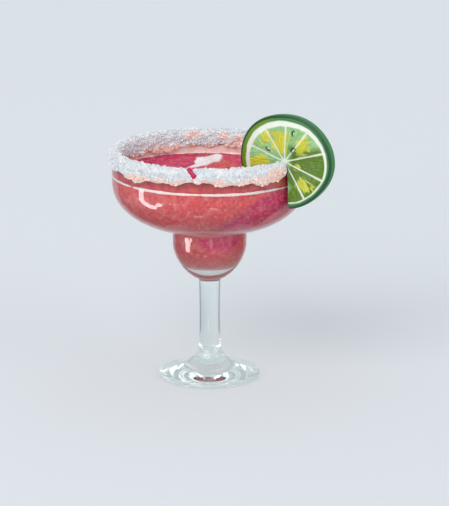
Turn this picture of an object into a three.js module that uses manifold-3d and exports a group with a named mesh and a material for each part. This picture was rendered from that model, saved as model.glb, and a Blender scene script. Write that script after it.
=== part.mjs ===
// A frozen margarita in its own stemmed glass: a coral red slush in a two-step bowl, a crust of coarse
// salt round the lip, and a slit lime wheel pushed down over the lip at the front right.
// Millimetres, +Z up. The origin is the centre of the foot's underside, +X is to the right and -Y is
// towards the person who looks at the drink.

import * as THREE from "three";
import { mergeVertices } from "three/addons/utils/BufferGeometryUtils.js";
import Module from "manifold-3d";

const wasm = await Module();
wasm.setup();

// Driving dimensions of the glass
const LIP_Z = 142; // height of the glass without its salt
const LIP_R = 59.0; // outer radius at the lip
const BOWL_R = 60.0; // widest outer radius, a little under the lip
const BOWL_WIDEST_Z = 123;
const WALL = 2.6;
const LIP_ROUND = 0.9;
const LEDGE_Z = 95; // underside of the wide bowl, where it meets the lower bowl
const CUP_R = 22.9; // outer radius of the lower bowl
const CUP_WALL = 3.4;
const CUP_FOOT_Z = 62.5; // where the lower bowl stands on the stem
const CUP_FLOOR_Z = 73.5; // inside bottom, on a thick glass base
const CUP_FLOOR_R = 8.6;
const STEM_R = 6.4;
const FOOT_R = 31.5;
const FOOT_EDGE = 2.6;
const ROUND_SIDES = 48; // facets of the glass and of the drink, which share them so their gap is even

// Driving dimensions of the drink
const LEVEL_Z = 129; // mean height of the slush
const GAP = 0.3; // clearance between touching solids
const SWIRL_ARMS = 2;
const SWIRL_PITCH = 23;
const SWIRL_HEIGHT = 0.8;
const LUMP_HEIGHT = 0.35;
const CREST_HEIGHT = 2.4; // the pale ridge of aerated slush
const CREST_HALF_WIDTH = 4.2;
const CREST_BOW = 3; // how far the ridge bends to one side of its straight line
const CREST_START = new THREE.Vector2(-12, 8);
const CREST_END = new THREE.Vector2(6, 46);

// Driving dimensions of the salt crust
const SALT_OUTER_R = BOWL_R - 0.2 + GAP; // the crust's channel, outside and inside the lip
const SALT_INNER_R = LIP_R - WALL - GAP;
const SALT_THICK = 1.15;
const SALT_TOP = 2.1; // how far the crust stands above the lip
const SALT_OUTER_DROP = 7.0;
const SALT_INNER_DROP = 9.2;
const SALT_SIDES = 72;
const GRAIN_COUNT = 54;
const GRAIN_SIZE = 2.0; // the largest grains, which are the ones modelled
const GRAIN_KEEP_OFF_DEG = 7; // clear of the lime wheel

// Driving dimensions of the lime wheel
const LIME_HALF_WIDTH = 30.6;
const LIME_HALF_HEIGHT = 28.4;
const LIME_THICK = 7.0;
const LIME_ON_RIM_DEG = 36; // where the wheel sits on the lip, from +X towards the viewer
const LIME_TURN_DEG = 28; // direction of the wheel's own plane, measured the same way
const LIME_CENTRE_Z = 144.3;
const SEGMENTS = 10;
const SEGMENT_START_DEG = -20;
const SAMPLES_PER_SEGMENT = 6;
const PULP_BULGE = 0.5;
const RIND_BELLY = 0.45; // how far the rind swells between the two faces
const TWIST = 4.2; // how far each lip of the slit swings out of the wheel's plane
const SLIT_HALF = 2.1;
const SLIT_FOOT_INNER = -3.9;
const SLIT_FOOT_OUTER = 3.7;

const degrees = THREE.MathUtils.degToRad;
const smooth = THREE.MathUtils.smoothstep;
const point = (r, z) => new THREE.Vector2(r, z);

// A seeded random number from 0 to 1, the same on each run
function seededRandom(seed) {
  let state = seed;
  return () => {
    state = (state + 0x6d2b79f5) | 0;
    let t = Math.imul(state ^ (state >>> 15), 1 | state);
    t = (t + Math.imul(t ^ (t >>> 7), 61 | t)) ^ t;
    return ((t ^ (t >>> 14)) >>> 0) / 4294967296;
  };
}

// A closed geometry as a solid for joins and cuts
function solidFrom(geometry) {
  const bare = geometry.clone();
  bare.deleteAttribute("normal");
  bare.deleteAttribute("uv");
  const merged = mergeVertices(bare, 1e-4);
  return new wasm.Manifold(
    new wasm.Mesh({
      numProp: 3,
      vertProperties: new Float32Array(merged.attributes.position.array),
      triVerts: new Uint32Array(merged.index.array),
    }),
  );
}

// The largest single body of a solid, as a geometry
function geometryFrom(solid) {
  const bodies = solid.decompose();
  bodies.sort((a, b) => b.volume() - a.volume());
  const mesh = bodies[0].getMesh();
  const geometry = new THREE.BufferGeometry();
  geometry.setAttribute(
    "position",
    new THREE.BufferAttribute(new Float32Array(mesh.vertProperties), 3),
  );
  geometry.setIndex(new THREE.BufferAttribute(new Uint32Array(mesh.triVerts), 1));
  geometry.computeVertexNormals();
  return geometry;
}

// Turns a profile of (radius, height) points about the vertical axis
function turned(profile, sides) {
  return new THREE.LatheGeometry(profile, sides).rotateX(Math.PI / 2);
}

// Points of a Bezier span, without its first point
function span(start, bendA, bendB, end, steps) {
  return new THREE.CubicBezierCurve(start, bendA, bendB, end).getPoints(steps).slice(1);
}

// The outside of the glass, from the centre of the foot up to the lip
function outerProfile() {
  const footTop = point(FOOT_R - 1.2, FOOT_EDGE);
  const stemFoot = point(STEM_R + 0.3, 20);
  const stemTop = point(STEM_R + 0.3, CUP_FOOT_Z - 2);
  const cupFoot = point(STEM_R + 4, CUP_FOOT_Z + 1.4);
  const cupSide = point(CUP_R, 84);
  const cupTop = point(CUP_R, LEDGE_Z - 2.6);
  const ledge = point(CUP_R + 3.4, LEDGE_Z);
  const widest = point(BOWL_R, BOWL_WIDEST_Z);
  return [
    point(0, 0),
    point(FOOT_R - 0.9, 0),
    point(FOOT_R, 0.8),
    point(FOOT_R - 0.2, FOOT_EDGE - 0.7),
    footTop,
    ...span(footTop, point(20, 4.6), point(7.4, 8), stemFoot, 6),
    ...span(stemFoot, point(STEM_R - 0.1, 34), point(STEM_R - 0.1, 48), stemTop, 2),
    ...span(stemTop, point(STEM_R + 0.4, CUP_FOOT_Z), point(STEM_R + 2, CUP_FOOT_Z + 0.5), cupFoot, 2),
    ...span(cupFoot, point(14.2, 66.4), point(CUP_R - 1.7, 72.6), cupSide, 4),
    cupTop,
    ...span(cupTop, point(CUP_R + 0.1, LEDGE_Z - 1), point(CUP_R + 1.2, LEDGE_Z - 0.6), ledge, 2),
    ...span(ledge, point(43, LEDGE_Z + 3.7), point(BOWL_R - 1.3, 107), widest, 7),
    point(BOWL_R - 0.1, 131),
    point(LIP_R, LIP_Z - LIP_ROUND),
    point(LIP_R - LIP_ROUND, LIP_Z),
  ];
}

// The inside of the glass, from the lip down to the centre of the lower bowl
function innerProfile() {
  const lip = point(LIP_R - WALL, LIP_Z - LIP_ROUND);
  const widest = point(BOWL_R - WALL - 0.1, BOWL_WIDEST_Z);
  const ledge = point(CUP_R + 2.2, LEDGE_Z + 3.4);
  const cupTop = point(CUP_R - CUP_WALL, LEDGE_Z - 0.4);
  const cupSide = point(CUP_R - CUP_WALL - 0.2, 85.5);
  const floor = point(CUP_FLOOR_R, CUP_FLOOR_Z + 0.5);
  return [
    point(LIP_R - WALL + LIP_ROUND, LIP_Z),
    lip,
    point(BOWL_R - WALL - 0.25, 131),
    widest,
    ...span(widest, point(BOWL_R - WALL - 1.8, 109.4), point(41.8, LEDGE_Z + 7), ledge, 6),
    ...span(ledge, point(CUP_R - 0.6, LEDGE_Z + 2.8), point(cupTop.x, LEDGE_Z + 2), cupTop, 2),
    cupSide,
    ...span(cupSide, point(18.4, 79.6), point(12.6, 76.4), floor, 3),
    point(CUP_FLOOR_R - 1.4, CUP_FLOOR_Z),
    point(0, CUP_FLOOR_Z),
  ];
}

function glass() {
  return turned([...outerProfile(), ...innerProfile()], ROUND_SIDES);
}

// Moves each point of a profile sideways by a distance, away from the wall it follows
function inset(profile, distance) {
  return profile.map((p, i) => {
    const before = profile[Math.max(i - 1, 0)];
    const after = profile[Math.min(i + 1, profile.length - 1)];
    const along = after.clone().sub(before).normalize();
    const r = p.x + along.y * distance;
    return point(p.x === 0 ? 0 : Math.max(r, 0), p.y - along.x * distance);
  });
}

// Height of the slush above its mean level: spiral ridges, soft lumps and one pale crest
function slushHeight(x, y) {
  const r = Math.hypot(x, y);
  const turn = Math.atan2(y, x);
  const swirl = Math.sin(SWIRL_ARMS * turn + (2 * Math.PI * r) / SWIRL_PITCH);
  const calm = smooth(r, 3, 14) * (1 - 0.55 * smooth(r, 44, 57));
  const lumps = LUMP_HEIGHT * Math.sin(0.21 * x + 1.1) * Math.cos(0.26 * y - 0.4);
  const along = CREST_END.clone().sub(CREST_START);
  const here = point(x, y).sub(CREST_START);
  const t = here.dot(along) / along.lengthSq();
  const bow = CREST_BOW * Math.sin(Math.PI * THREE.MathUtils.clamp(t, 0, 1));
  const aside = here.cross(along) / along.length() - bow;
  const taper = smooth(t, -0.12, 0.35) * (1 - smooth(t, 0.8, 1.12));
  const crest = CREST_HEIGHT * taper * Math.exp(-((aside / CREST_HALF_WIDTH) ** 2));
  return SWIRL_HEIGHT * swirl * calm + lumps * calm + crest;
}

// The slush fills the bowl up to its level, a gap clear of the glass
function drink() {
  const wall = inset(innerProfile().slice(3), GAP).reverse();
  wall[0] = point(0, CUP_FLOOR_Z + GAP);
  const edgeR = BOWL_R - WALL - 0.15 - GAP;
  const surfaceRings = [52, 47, 42, 37, 32, 27, 22, 17, 12, 6, 0];
  const top = [point(edgeR, LEVEL_Z), ...surfaceRings.map((r) => point(r, LEVEL_Z))];
  const geometry = turned([...wall, ...top], ROUND_SIDES);
  const position = geometry.attributes.position;
  for (let i = 0; i < position.count; i++) {
    if (position.getZ(i) < LEVEL_Z - 0.01) continue;
    const x = position.getX(i);
    const y = position.getY(i);
    position.setZ(i, LEVEL_Z + slushHeight(x, y));
  }
  return solidFrom(geometry);
}

// Ragged lower edge of the salt, as a share of its mean drop
function raggedEdge(turn, phase) {
  return 1 + 0.16 * Math.sin(5 * turn + phase) + 0.12 * Math.sin(13 * turn + 2 * phase) + 0.08 * Math.sin(29 * turn);
}

// The channel inside the crust, a gap clear of the lip, down to two given heights
function lipChannel(innerFoot, outerFoot) {
  return [
    point(SALT_INNER_R, innerFoot),
    point(SALT_INNER_R, LIP_Z - 0.6),
    point(SALT_INNER_R + 0.7, LIP_Z + GAP),
    point(SALT_OUTER_R - 1.4, LIP_Z + GAP),
    point(SALT_OUTER_R, LIP_Z - 0.6),
    point(SALT_OUTER_R, outerFoot),
  ];
}

// The crust's cross-section sits over the lip, and its two skirts reach down both sides of the wall
function saltProfile() {
  const outerFoot = LIP_Z - SALT_OUTER_DROP;
  const innerFoot = LIP_Z - SALT_INNER_DROP;
  return [
    point(SALT_OUTER_R, outerFoot),
    point(SALT_OUTER_R + 0.5, outerFoot - 0.2),
    point(SALT_OUTER_R + SALT_THICK, outerFoot + 2.4),
    point(SALT_OUTER_R + SALT_THICK, LIP_Z - 0.8),
    point(SALT_OUTER_R + 0.3, LIP_Z + 1.5),
    point((SALT_OUTER_R + SALT_INNER_R) / 2, LIP_Z + SALT_TOP),
    point(SALT_INNER_R - 0.3, LIP_Z + 1.4),
    point(SALT_INNER_R - SALT_THICK, LIP_Z - 1.2),
    point(SALT_INNER_R - SALT_THICK, innerFoot + 2.4),
    point(SALT_INNER_R - 0.5, innerFoot - 0.2),
    ...lipChannel(innerFoot, outerFoot),
  ];
}

function saltCore() {
  const geometry = turned(saltProfile(), SALT_SIDES);
  const position = geometry.attributes.position;
  for (let i = 0; i < position.count; i++) {
    const r = Math.hypot(position.getX(i), position.getY(i));
    const turn = Math.atan2(position.getY(i), position.getX(i));
    let z = position.getZ(i);
    const outside = r > (SALT_OUTER_R + SALT_INNER_R) / 2;
    const drop = outside ? SALT_OUTER_DROP : SALT_INNER_DROP;
    const low = smooth(LIP_Z - z, 2, drop - 2);
    z -= low * drop * (raggedEdge(turn, outside ? 0.7 : 2.9) - 1);
    const skin = outside ? r - SALT_OUTER_R : SALT_INNER_R - r;
    const lump = 0.22 * Math.sin(31 * turn + 0.9 * z) * smooth(skin, 0.6, 1) * (outside ? 1 : -1);
    const above = 0.3 * Math.sin(23 * turn) * smooth(z, LIP_Z + 1, LIP_Z + 2);
    const scale = (r + lump) / r;
    position.setXYZ(i, position.getX(i) * scale, position.getY(i) * scale, z + above);
  }
  return solidFrom(geometry);
}

// Coarse salt grains, half sunk in the crust, spread evenly by the golden angle
function saltGrains() {
  const random = seededRandom(11);
  const golden = Math.PI * (3 - Math.sqrt(5));
  const outer = SALT_OUTER_R + SALT_THICK;
  const inner = SALT_INNER_R - SALT_THICK;
  const grains = [];
  for (let i = 0; grains.length < GRAIN_COUNT; i++) {
    const turn = (i * golden) % (2 * Math.PI);
    const size = GRAIN_SIZE * (0.7 + 0.5 * random());
    const place = random();
    const away = Math.abs(turn - (2 * Math.PI - degrees(LIME_ON_RIM_DEG)));
    if (away < degrees(GRAIN_KEEP_OFF_DEG)) continue;
    let r = outer;
    let z = LIP_Z - 0.4 - random() * (SALT_OUTER_DROP - 2.6);
    if (place > 0.72) {
      r = inner;
      z = LIP_Z - 0.4 - random() * (SALT_INNER_DROP - 3);
    } else if (place > 0.44) {
      r = inner + (outer - inner) * (0.25 + 0.5 * random());
      z = LIP_Z + SALT_TOP - 0.3;
    }
    const box = new THREE.BoxGeometry(size, size * (0.75 + 0.3 * random()), size * 0.8);
    box.rotateX(random() * Math.PI).rotateY(random() * Math.PI).rotateZ(random() * Math.PI);
    box.translate(r * Math.cos(turn), r * Math.sin(turn), z);
    grains.push(solidFrom(box));
  }
  return grains;
}

// The crust and its grains as one solid, clear of the lip and of the lime wheel
function saltCrust(room) {
  const foot = LIP_Z - 2 * SALT_INNER_DROP;
  const channel = lipChannel(foot, foot);
  const lip = solidFrom(turned([...channel, channel[0]].reverse(), SALT_SIDES));
  return wasm.Manifold.union([saltCore(), ...saltGrains()]).subtract(lip).subtract(room);
}

// Outer radius of the lime wheel in a direction, a little uneven as a real fruit is
function limeRadius(turn) {
  const round = Math.hypot(LIME_HALF_WIDTH * Math.cos(turn), LIME_HALF_HEIGHT * Math.sin(turn));
  return round * (1 + 0.01 * Math.sin(3 * turn + 0.6) + 0.006 * Math.sin(5 * turn + 2));
}

// Half the wheel's thickness at a share of its radius: flat pith, and pulp that bulges in each segment
function limeHalfThickness(share, turn) {
  const phase = ((turn - degrees(SEGMENT_START_DEG)) * SEGMENTS) / (2 * Math.PI);
  const across = Math.abs(Math.sin(Math.PI * phase)) ** 0.6;
  const ring = smooth(share, 0.08, 0.24) * (1 - smooth(share, 0.76, 0.86));
  const edge = 0.9 * smooth(share, 0.94, 1);
  return LIME_THICK / 2 + PULP_BULGE * across * ring - edge;
}

// The lips of the slit swing to opposite sides of the wheel's plane, most at the rind
function twistAt(u, v) {
  const below = Math.max(0, -v) / LIME_HALF_HEIGHT;
  return (TWIST * below ** 2 * u) / Math.hypot(u, 7);
}

function twisted(solid) {
  const geometry = geometryFrom(solid);
  const position = geometry.attributes.position;
  for (let i = 0; i < position.count; i++) {
    position.setZ(i, position.getZ(i) + twistAt(position.getX(i), position.getY(i)));
  }
  return geometry;
}

// A whole wheel about its own centre, with its faces towards +Z and -Z: rings of points out over one
// face, round the rind and back in over the other. grow adds to its radius and to both faces.
function wholeWheel(shares, halfThickness, grow) {
  const steps = SEGMENTS * SAMPLES_PER_SEGMENT;
  const front = shares.map((share) => ({ share, side: 1, belly: 0 }));
  const rind = [0.5, -0.5].map((side) => ({ share: 1, side, belly: RIND_BELLY }));
  const back = shares.map((share) => ({ share, side: -1, belly: 0 })).reverse();
  const rows = [...front, ...rind, ...back];
  const vertices = [0, 0, halfThickness(0, 0) + grow];
  for (const { share, side, belly } of rows) {
    for (let i = 0; i < steps; i++) {
      const turn = degrees(SEGMENT_START_DEG) + (2 * Math.PI * i) / steps;
      const r = share * (limeRadius(turn) - RIND_BELLY + grow) + belly;
      const w = side * (halfThickness(share, turn) + grow);
      vertices.push(r * Math.cos(turn), r * Math.sin(turn), w);
    }
  }
  vertices.push(0, 0, -halfThickness(0, 0) - grow);
  const last = vertices.length / 3 - 1;
  const at = (row, i) => 1 + row * steps + (i % steps);
  const faces = [];
  for (let i = 0; i < steps; i++) {
    faces.push(0, at(0, i), at(0, i + 1));
    faces.push(last, at(rows.length - 1, i + 1), at(rows.length - 1, i));
    for (let row = 0; row < rows.length - 1; row++) {
      faces.push(at(row, i), at(row + 1, i), at(row + 1, i + 1));
      faces.push(at(row, i), at(row + 1, i + 1), at(row, i + 1));
    }
  }
  const geometry = new THREE.BufferGeometry();
  geometry.setAttribute("position", new THREE.Float32BufferAttribute(vertices, 3));
  geometry.setIndex(faces);
  return solidFrom(geometry);
}

// The slit that the lip of the glass stands in, round at its top and wider at the rind
function slit() {
  const top = LIP_Z + GAP + 0.05 - LIME_CENTRE_Z;
  const outline = new THREE.Shape();
  outline.absarc(0, top - SLIT_HALF, SLIT_HALF, 0, Math.PI, false);
  outline.lineTo(SLIT_FOOT_INNER, -LIME_HALF_HEIGHT - 4);
  outline.lineTo(SLIT_FOOT_OUTER, -LIME_HALF_HEIGHT - 4);
  const depth = 2 * LIME_THICK;
  const options = { depth, bevelEnabled: false, curveSegments: 8 };
  return solidFrom(new THREE.ExtrudeGeometry(outline, options).translate(0, 0, -depth / 2));
}

function limeWheel() {
  const shares = [0.1, 0.26, 0.5, 0.74, 0.86, 0.95, 1];
  return twisted(wholeWheel(shares, limeHalfThickness, 0).subtract(slit()));
}

// The room that the wheel takes in the slush and in the salt
function limeRoom(placed) {
  const flat = () => LIME_THICK / 2 + PULP_BULGE;
  const room = twisted(wholeWheel([0.12, 0.3, 0.5, 0.7, 0.86, 1], flat, GAP));
  return solidFrom(room.applyMatrix4(placed));
}

function material(colour, roughness, extra = {}) {
  return new THREE.MeshStandardMaterial({ color: colour, roughness, metalness: 0, ...extra });
}

function named(name, geometry, finish) {
  const mesh = new THREE.Mesh(geometry, finish);
  mesh.name = name;
  return mesh;
}

const margarita = new THREE.Group();
const garnish = new THREE.Group();
const upright = new THREE.Group();
const seatR = LIP_R - WALL / 2;
const seat = degrees(LIME_ON_RIM_DEG);
garnish.position.set(seatR * Math.cos(seat), -seatR * Math.sin(seat), LIME_CENTRE_Z);
garnish.rotation.z = -degrees(LIME_TURN_DEG);
upright.rotation.x = Math.PI / 2;
garnish.add(upright);
margarita.add(garnish);
margarita.updateMatrixWorld(true);

const room = limeRoom(upright.matrixWorld);
margarita.add(named("glass", glass(), material(0xe3e8e4, 0.05, { transparent: true, opacity: 0.35 })));
margarita.add(named("drink", geometryFrom(drink().subtract(room)), material(0xc95258, 0.35)));
margarita.add(named("salt_crust", geometryFrom(saltCrust(room)), material(0xf3f1ee, 0.7)));
upright.add(named("lime_wheel", limeWheel(), material(0x9cbf4a, 0.4)));

export default margarita;
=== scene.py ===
"""A frozen margarita in its stemmed glass: the looks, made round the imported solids.

Shapes are worked out in millimetres and turned to metres where a mesh is made. The origin is the centre of
the foot's underside, +Z is up, +X is to the right and -Y is towards the viewer.
"""

import logging
import math
from collections.abc import Callable
from dataclasses import dataclass, field
from enum import Enum
from functools import cache
from typing import Any

import bmesh
import bpy
import numpy as np
from mathutils import Euler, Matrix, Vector
from numpy.typing import NDArray


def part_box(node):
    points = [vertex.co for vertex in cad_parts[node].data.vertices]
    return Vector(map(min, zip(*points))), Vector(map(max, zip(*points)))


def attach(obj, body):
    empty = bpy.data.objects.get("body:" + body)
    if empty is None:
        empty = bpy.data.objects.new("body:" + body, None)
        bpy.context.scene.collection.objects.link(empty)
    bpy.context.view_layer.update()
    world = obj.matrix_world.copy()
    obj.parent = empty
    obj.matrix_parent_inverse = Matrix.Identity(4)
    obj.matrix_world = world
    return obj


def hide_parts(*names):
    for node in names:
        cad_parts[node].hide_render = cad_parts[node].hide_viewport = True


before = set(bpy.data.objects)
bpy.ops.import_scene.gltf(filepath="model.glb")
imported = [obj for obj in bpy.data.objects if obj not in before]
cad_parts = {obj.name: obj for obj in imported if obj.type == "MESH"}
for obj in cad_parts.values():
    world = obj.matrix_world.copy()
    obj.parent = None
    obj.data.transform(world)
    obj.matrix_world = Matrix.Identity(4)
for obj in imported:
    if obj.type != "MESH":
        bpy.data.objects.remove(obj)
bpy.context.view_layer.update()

Array = NDArray[np.float64]
Index = NDArray[np.int64]
Zones = dict[str, Array]
Point = tuple[float, ...]

MM = 0.001
BODY = "root"
TAU = 2.0 * math.pi

log = logging.getLogger("margarita")


class Slot(Enum):
    """The record's material slots."""

    GLASS = "glass"
    SLUSH = "slush"
    SALT = "salt"
    LIME = "lime"


class Skirt(Enum):
    """The three faces of the salt crust on which grains lie."""

    OUTSIDE = "outside"
    TOP = "top"
    INSIDE = "inside"


def smooth(x: Array | float, low: float, high: float) -> Array:
    """A ramp from 0 at low to 1 at high that starts and ends level: 3 t^2 - 2 t^3.

    Args:
        x: Where the ramp is read.
        low: Where it leaves 0.
        high: Where it reaches 1.

    Returns:
        The ramp's height, from 0 to 1.
    """
    t = np.clip((np.asarray(x, float) - low) / (high - low), 0.0, 1.0)
    return t * t * (3.0 - 2.0 * t)


def bezier(start: Array, bend_a: Point, bend_b: Point, end: Point, steps: int) -> Array:
    """Points of a cubic Bezier span without its first point, by the Bernstein sum of its four points.

    Args:
        start: First point, left out of the result.
        bend_a: Control point of the start.
        bend_b: Control point of the end.
        end: Last point.
        steps: How many points to return.

    Returns:
        An array of steps rows.
    """
    t = np.linspace(0.0, 1.0, steps + 1)[1:, None]
    a, b, c, d = (np.array(p, float) for p in (start, bend_a, bend_b, end))
    return a * (1 - t) ** 3 + 3 * b * t * (1 - t) ** 2 + 3 * c * t * t * (1 - t) + d * t**3


def outline(start: Point, *spans: tuple) -> Array:
    """A line of straight and Bezier spans.

    Args:
        start: Its first point.
        spans: A point to go straight to, or two control points, an end and a number of steps.

    Returns:
        One row for each point.
    """
    line = np.array([start], float)
    for span in spans:
        line = np.vstack([line, bezier(line[-1], *span) if len(span) == 4 else [span]])
    return line


def even_steps(line: Array, count: int) -> Array:
    """Points spread at even steps along a polyline.

    Args:
        line: The polyline's points.
        count: How many points to return, both ends among them.

    Returns:
        An array of count rows.
    """
    run = np.concatenate([[0.0], np.cumsum(np.linalg.norm(np.diff(line, axis=0), axis=1))])
    at = np.linspace(0.0, run[-1], count)
    return np.stack([np.interp(at, run, line[:, k]) for k in range(line.shape[1])], axis=1)


def polar(r: Array | float, turn: Array, z: Array | float) -> Array:
    """Positions at radii, angles about the axis and heights: (r cos a, r sin a, z)."""
    return np.stack(np.broadcast_arrays(r * np.cos(turn), r * np.sin(turn), z), axis=-1)


def around(sides: int) -> Array:
    """Angles at even steps of a full turn, from 0."""
    return TAU * np.arange(sides) / sides


def unit(vectors: Array) -> Array:
    """Vectors in the last axis, each brought to a length of 1."""
    return vectors / np.linalg.norm(vectors, axis=-1, keepdims=True)


def ellipse(x: Array, y: Array, middle: Point, half: Point) -> Array:
    """How far out in an ellipse a point lies: 0 at its middle and 1 on its edge."""
    return np.hypot((x - middle[0]) / half[0], (y - middle[1]) / half[1])


def push_out(profile: Array, distance: float) -> Array:
    """Moves each point of a profile to the right of its direction of travel.

    Args:
        profile: Points (radius, height).
        distance: How far each point moves.

    Returns:
        The moved profile, with points on the axis kept on it.
    """
    along = unit(np.gradient(profile, axis=0))
    moved = profile + distance * np.stack([along[:, 1], -along[:, 0]], axis=1)
    moved[:, 0] = np.where(profile[:, 0] == 0.0, 0.0, np.maximum(moved[:, 0], 0.0))
    return moved


@dataclass(frozen=True)
class SpaceNoise:
    """Seeded noise in space: random numbers on a cubic lattice, blended by smooth ramps."""

    seed: int
    size: int = 32

    def at(self, points: Array, wavelength: float) -> Array:
        """Reads the noise.

        Args:
            points: Positions, with x, y and z in the last axis.
            wavelength: Distance between lattice points, in the unit of the positions.

        Returns:
            Values from -1 to 1, one for each position.
        """
        lattice = np.random.default_rng(self.seed).random((self.size,) * 3)
        place = np.asarray(points, float) / wavelength
        cell = np.floor(place).astype(int)
        share = place - cell
        share = share * share * (3.0 - 2.0 * share)
        total = np.zeros(place.shape[:-1])
        for corner in np.ndindex(2, 2, 2):
            weight = np.prod(np.where(corner, share, 1.0 - share), axis=-1)
            i, j, k = np.moveaxis((cell + corner) % self.size, -1, 0)
            total += weight * lattice[i, j, k]
        return 2.0 * total - 1.0


@dataclass(frozen=True)
class CellNoise:
    """Seeded cells in a plane: one random point in each unit square, and the distances to the nearest."""

    seed: int
    size: int = 64

    def at(self, u: Array, v: Array) -> tuple[Array, Array, Array]:
        """Reads the cells.

        Args:
            u: First coordinate, in cell widths.
            v: Second coordinate, in cell widths.

        Returns:
            Distance to the nearest point, how much further the second one is, and the nearest cell's own
            random number.
        """
        table = np.random.default_rng(self.seed).random((self.size, self.size, 3))
        row = np.floor(u).astype(int)
        column = np.floor(v).astype(int)
        nearest = np.full(u.shape, 9.0)
        second = np.full(u.shape, 9.0)
        own = np.zeros(u.shape)
        for i in (-1, 0, 1):
            for j in (-1, 0, 1):
                spot = table[(row + i) % self.size, (column + j) % self.size]
                far = np.hypot(row + i + spot[..., 0] - u, column + j + spot[..., 1] - v)
                closer = far < nearest
                second = np.where(closer, nearest, np.minimum(second, far))
                own = np.where(closer, spot[..., 2], own)
                nearest = np.where(closer, far, nearest)
        return nearest, second - nearest, own


def quads_of(index: Index, closed: bool) -> Index:
    """Four-sided faces between the rows of a grid, facing along (column direction) x (row direction).

    Args:
        index: The point numbers, row by row.
        closed: Whether the last column joins the first.

    Returns:
        One row of four point numbers for each face.
    """
    if closed:
        index = np.column_stack([index, index[:, :1]])
    corners = [index[:-1, :-1], index[:-1, 1:], index[1:, 1:], index[1:, :-1]]
    return np.stack(corners, axis=-1).reshape(-1, 4)


def tube_faces(rows: int, columns: int) -> Index:
    """Faces of a closed cross-section of rows points that is carried round a full turn."""
    index = np.arange(rows * columns).reshape(rows, columns)
    return quads_of(np.vstack([index, index[:1]]), closed=True)


def without_strays(points: Array, faces: list[Index]) -> tuple[Array, list[Index], Index]:
    """Drops the points that no face uses.

    Args:
        points: All points.
        faces: Arrays of faces with the same number of corners each.

    Returns:
        The points kept, the faces with new point numbers, and the old number of each point kept.
    """
    used = np.unique(np.concatenate([f.ravel() for f in faces]))
    number = np.zeros(len(points), int)
    number[used] = np.arange(len(used))
    return points[used], [number[f] for f in faces], used


def add_object(name: str, data: Any) -> bpy.types.Object:
    """Adds an object to the scene."""
    thing = bpy.data.objects.new(name, data)
    bpy.context.scene.collection.objects.link(thing)
    return thing


def one_zone(share: Array) -> Array:
    """A colour attribute that holds one share for each point, in its red."""
    return np.stack([share, 0 * share, 0 * share, 1 + 0 * share], axis=-1)


def aim(thing: bpy.types.Object, direction: Point | Vector) -> None:
    """Turns a camera or lamp to look in a direction."""
    thing.rotation_euler = Vector(direction).to_track_quat("-Z", "Y").to_euler()


def make_piece(
    name: str, points: Array, faces: list[Index], zones: Zones | None = None
) -> bpy.types.Object:
    """Makes a smooth mesh object at the origin.

    Args:
        name: The piece's name.
        points: Positions in millimetres.
        faces: Arrays of faces, those with three and those with four corners apart.
        zones: Named colour attributes, four numbers from 0 to 1 for each point.

    Returns:
        The new object, linked to the scene.
    """
    points, faces, used = without_strays(points.reshape(-1, 3), faces)
    mesh = bpy.data.meshes.new(name)
    mesh.from_pydata((points * MM).tolist(), [], [corner for group in faces for corner in group.tolist()])
    for zone, values in (zones or {}).items():
        attribute = mesh.attributes.new(zone, "FLOAT_COLOR", "POINT")
        attribute.data.foreach_set("color", values.reshape(-1, 4)[used].astype(np.float32).ravel())
    mesh.polygons.foreach_set("use_smooth", np.ones(len(mesh.polygons), bool))
    mesh.update()
    return add_object(name, mesh)


def merge_doubles(piece: bpy.types.Object, distance: float = 1e-6) -> None:
    """Joins points that lie on each other, such as the two ends of a closed ring.

    Args:
        piece: The mesh object to mend.
        distance: How close two points have to be, in metres.
    """
    body = bmesh.new()
    body.from_mesh(piece.data)
    bmesh.ops.remove_doubles(body, verts=body.verts, dist=distance)
    bmesh.ops.dissolve_degenerate(body, edges=body.edges, dist=distance)
    body.to_mesh(piece.data)
    body.free()
    piece.data.update()


def turned(profile: Array, sides: int) -> tuple[Array, list[Index]]:
    """A profile turned about the vertical axis.

    Args:
        profile: Points (radius, height), the first and the last on the axis.
        sides: Steps round the axis.

    Returns:
        The points and the faces, closed at both poles and facing right of the direction of travel.
    """
    rings = profile[1:-1]
    body = polar(rings[:, :1], around(sides), rings[:, 1:]).reshape(-1, 3)
    poles = np.array([[0.0, 0.0, profile[0, 1]], [0.0, 0.0, profile[-1, 1]]])
    index = np.arange(len(rings) * sides).reshape(len(rings), sides)
    start = np.full(sides, len(body))
    end = start + 1
    near_start = np.stack([start, np.roll(index[0], -1), index[0]], axis=1)
    near_end = np.stack([index[-1], np.roll(index[-1], -1), end], axis=1)
    return np.vstack([body, poles]), [quads_of(index, closed=True), np.vstack([near_start, near_end])]


def block_faces(shape: tuple[int, int, int], first_open: int, hollow: bool) -> list[Index]:
    """The faces of a slit ring or disc, made as a block of points bent round its centre.

    The block's first number counts out along the radius, its second from the front face to the back face
    and its third round the centre, from one lip of the slit to the other.

    Args:
        shape: How many points the block has each way.
        first_open: The radial step at which the slit starts.
        hollow: Whether the block has an inner wall, or else closes at its centre.

    Returns:
        Faces that look outwards.
    """
    out, across, round_ = shape
    index = np.arange(out * across * round_).reshape(shape)
    sides = [
        quads_of(index[:, 0, :], closed=False)[:, ::-1],
        quads_of(index[:, -1, :], closed=False),
        quads_of(index[-1, :, :], closed=False)[:, ::-1],
        quads_of(index[first_open:, :, 0], closed=False),
        quads_of(index[first_open:, :, -1], closed=False)[:, ::-1],
    ]
    if hollow:
        sides.append(quads_of(index[0, :, :], closed=False))
    return [np.vstack(sides)]


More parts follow.
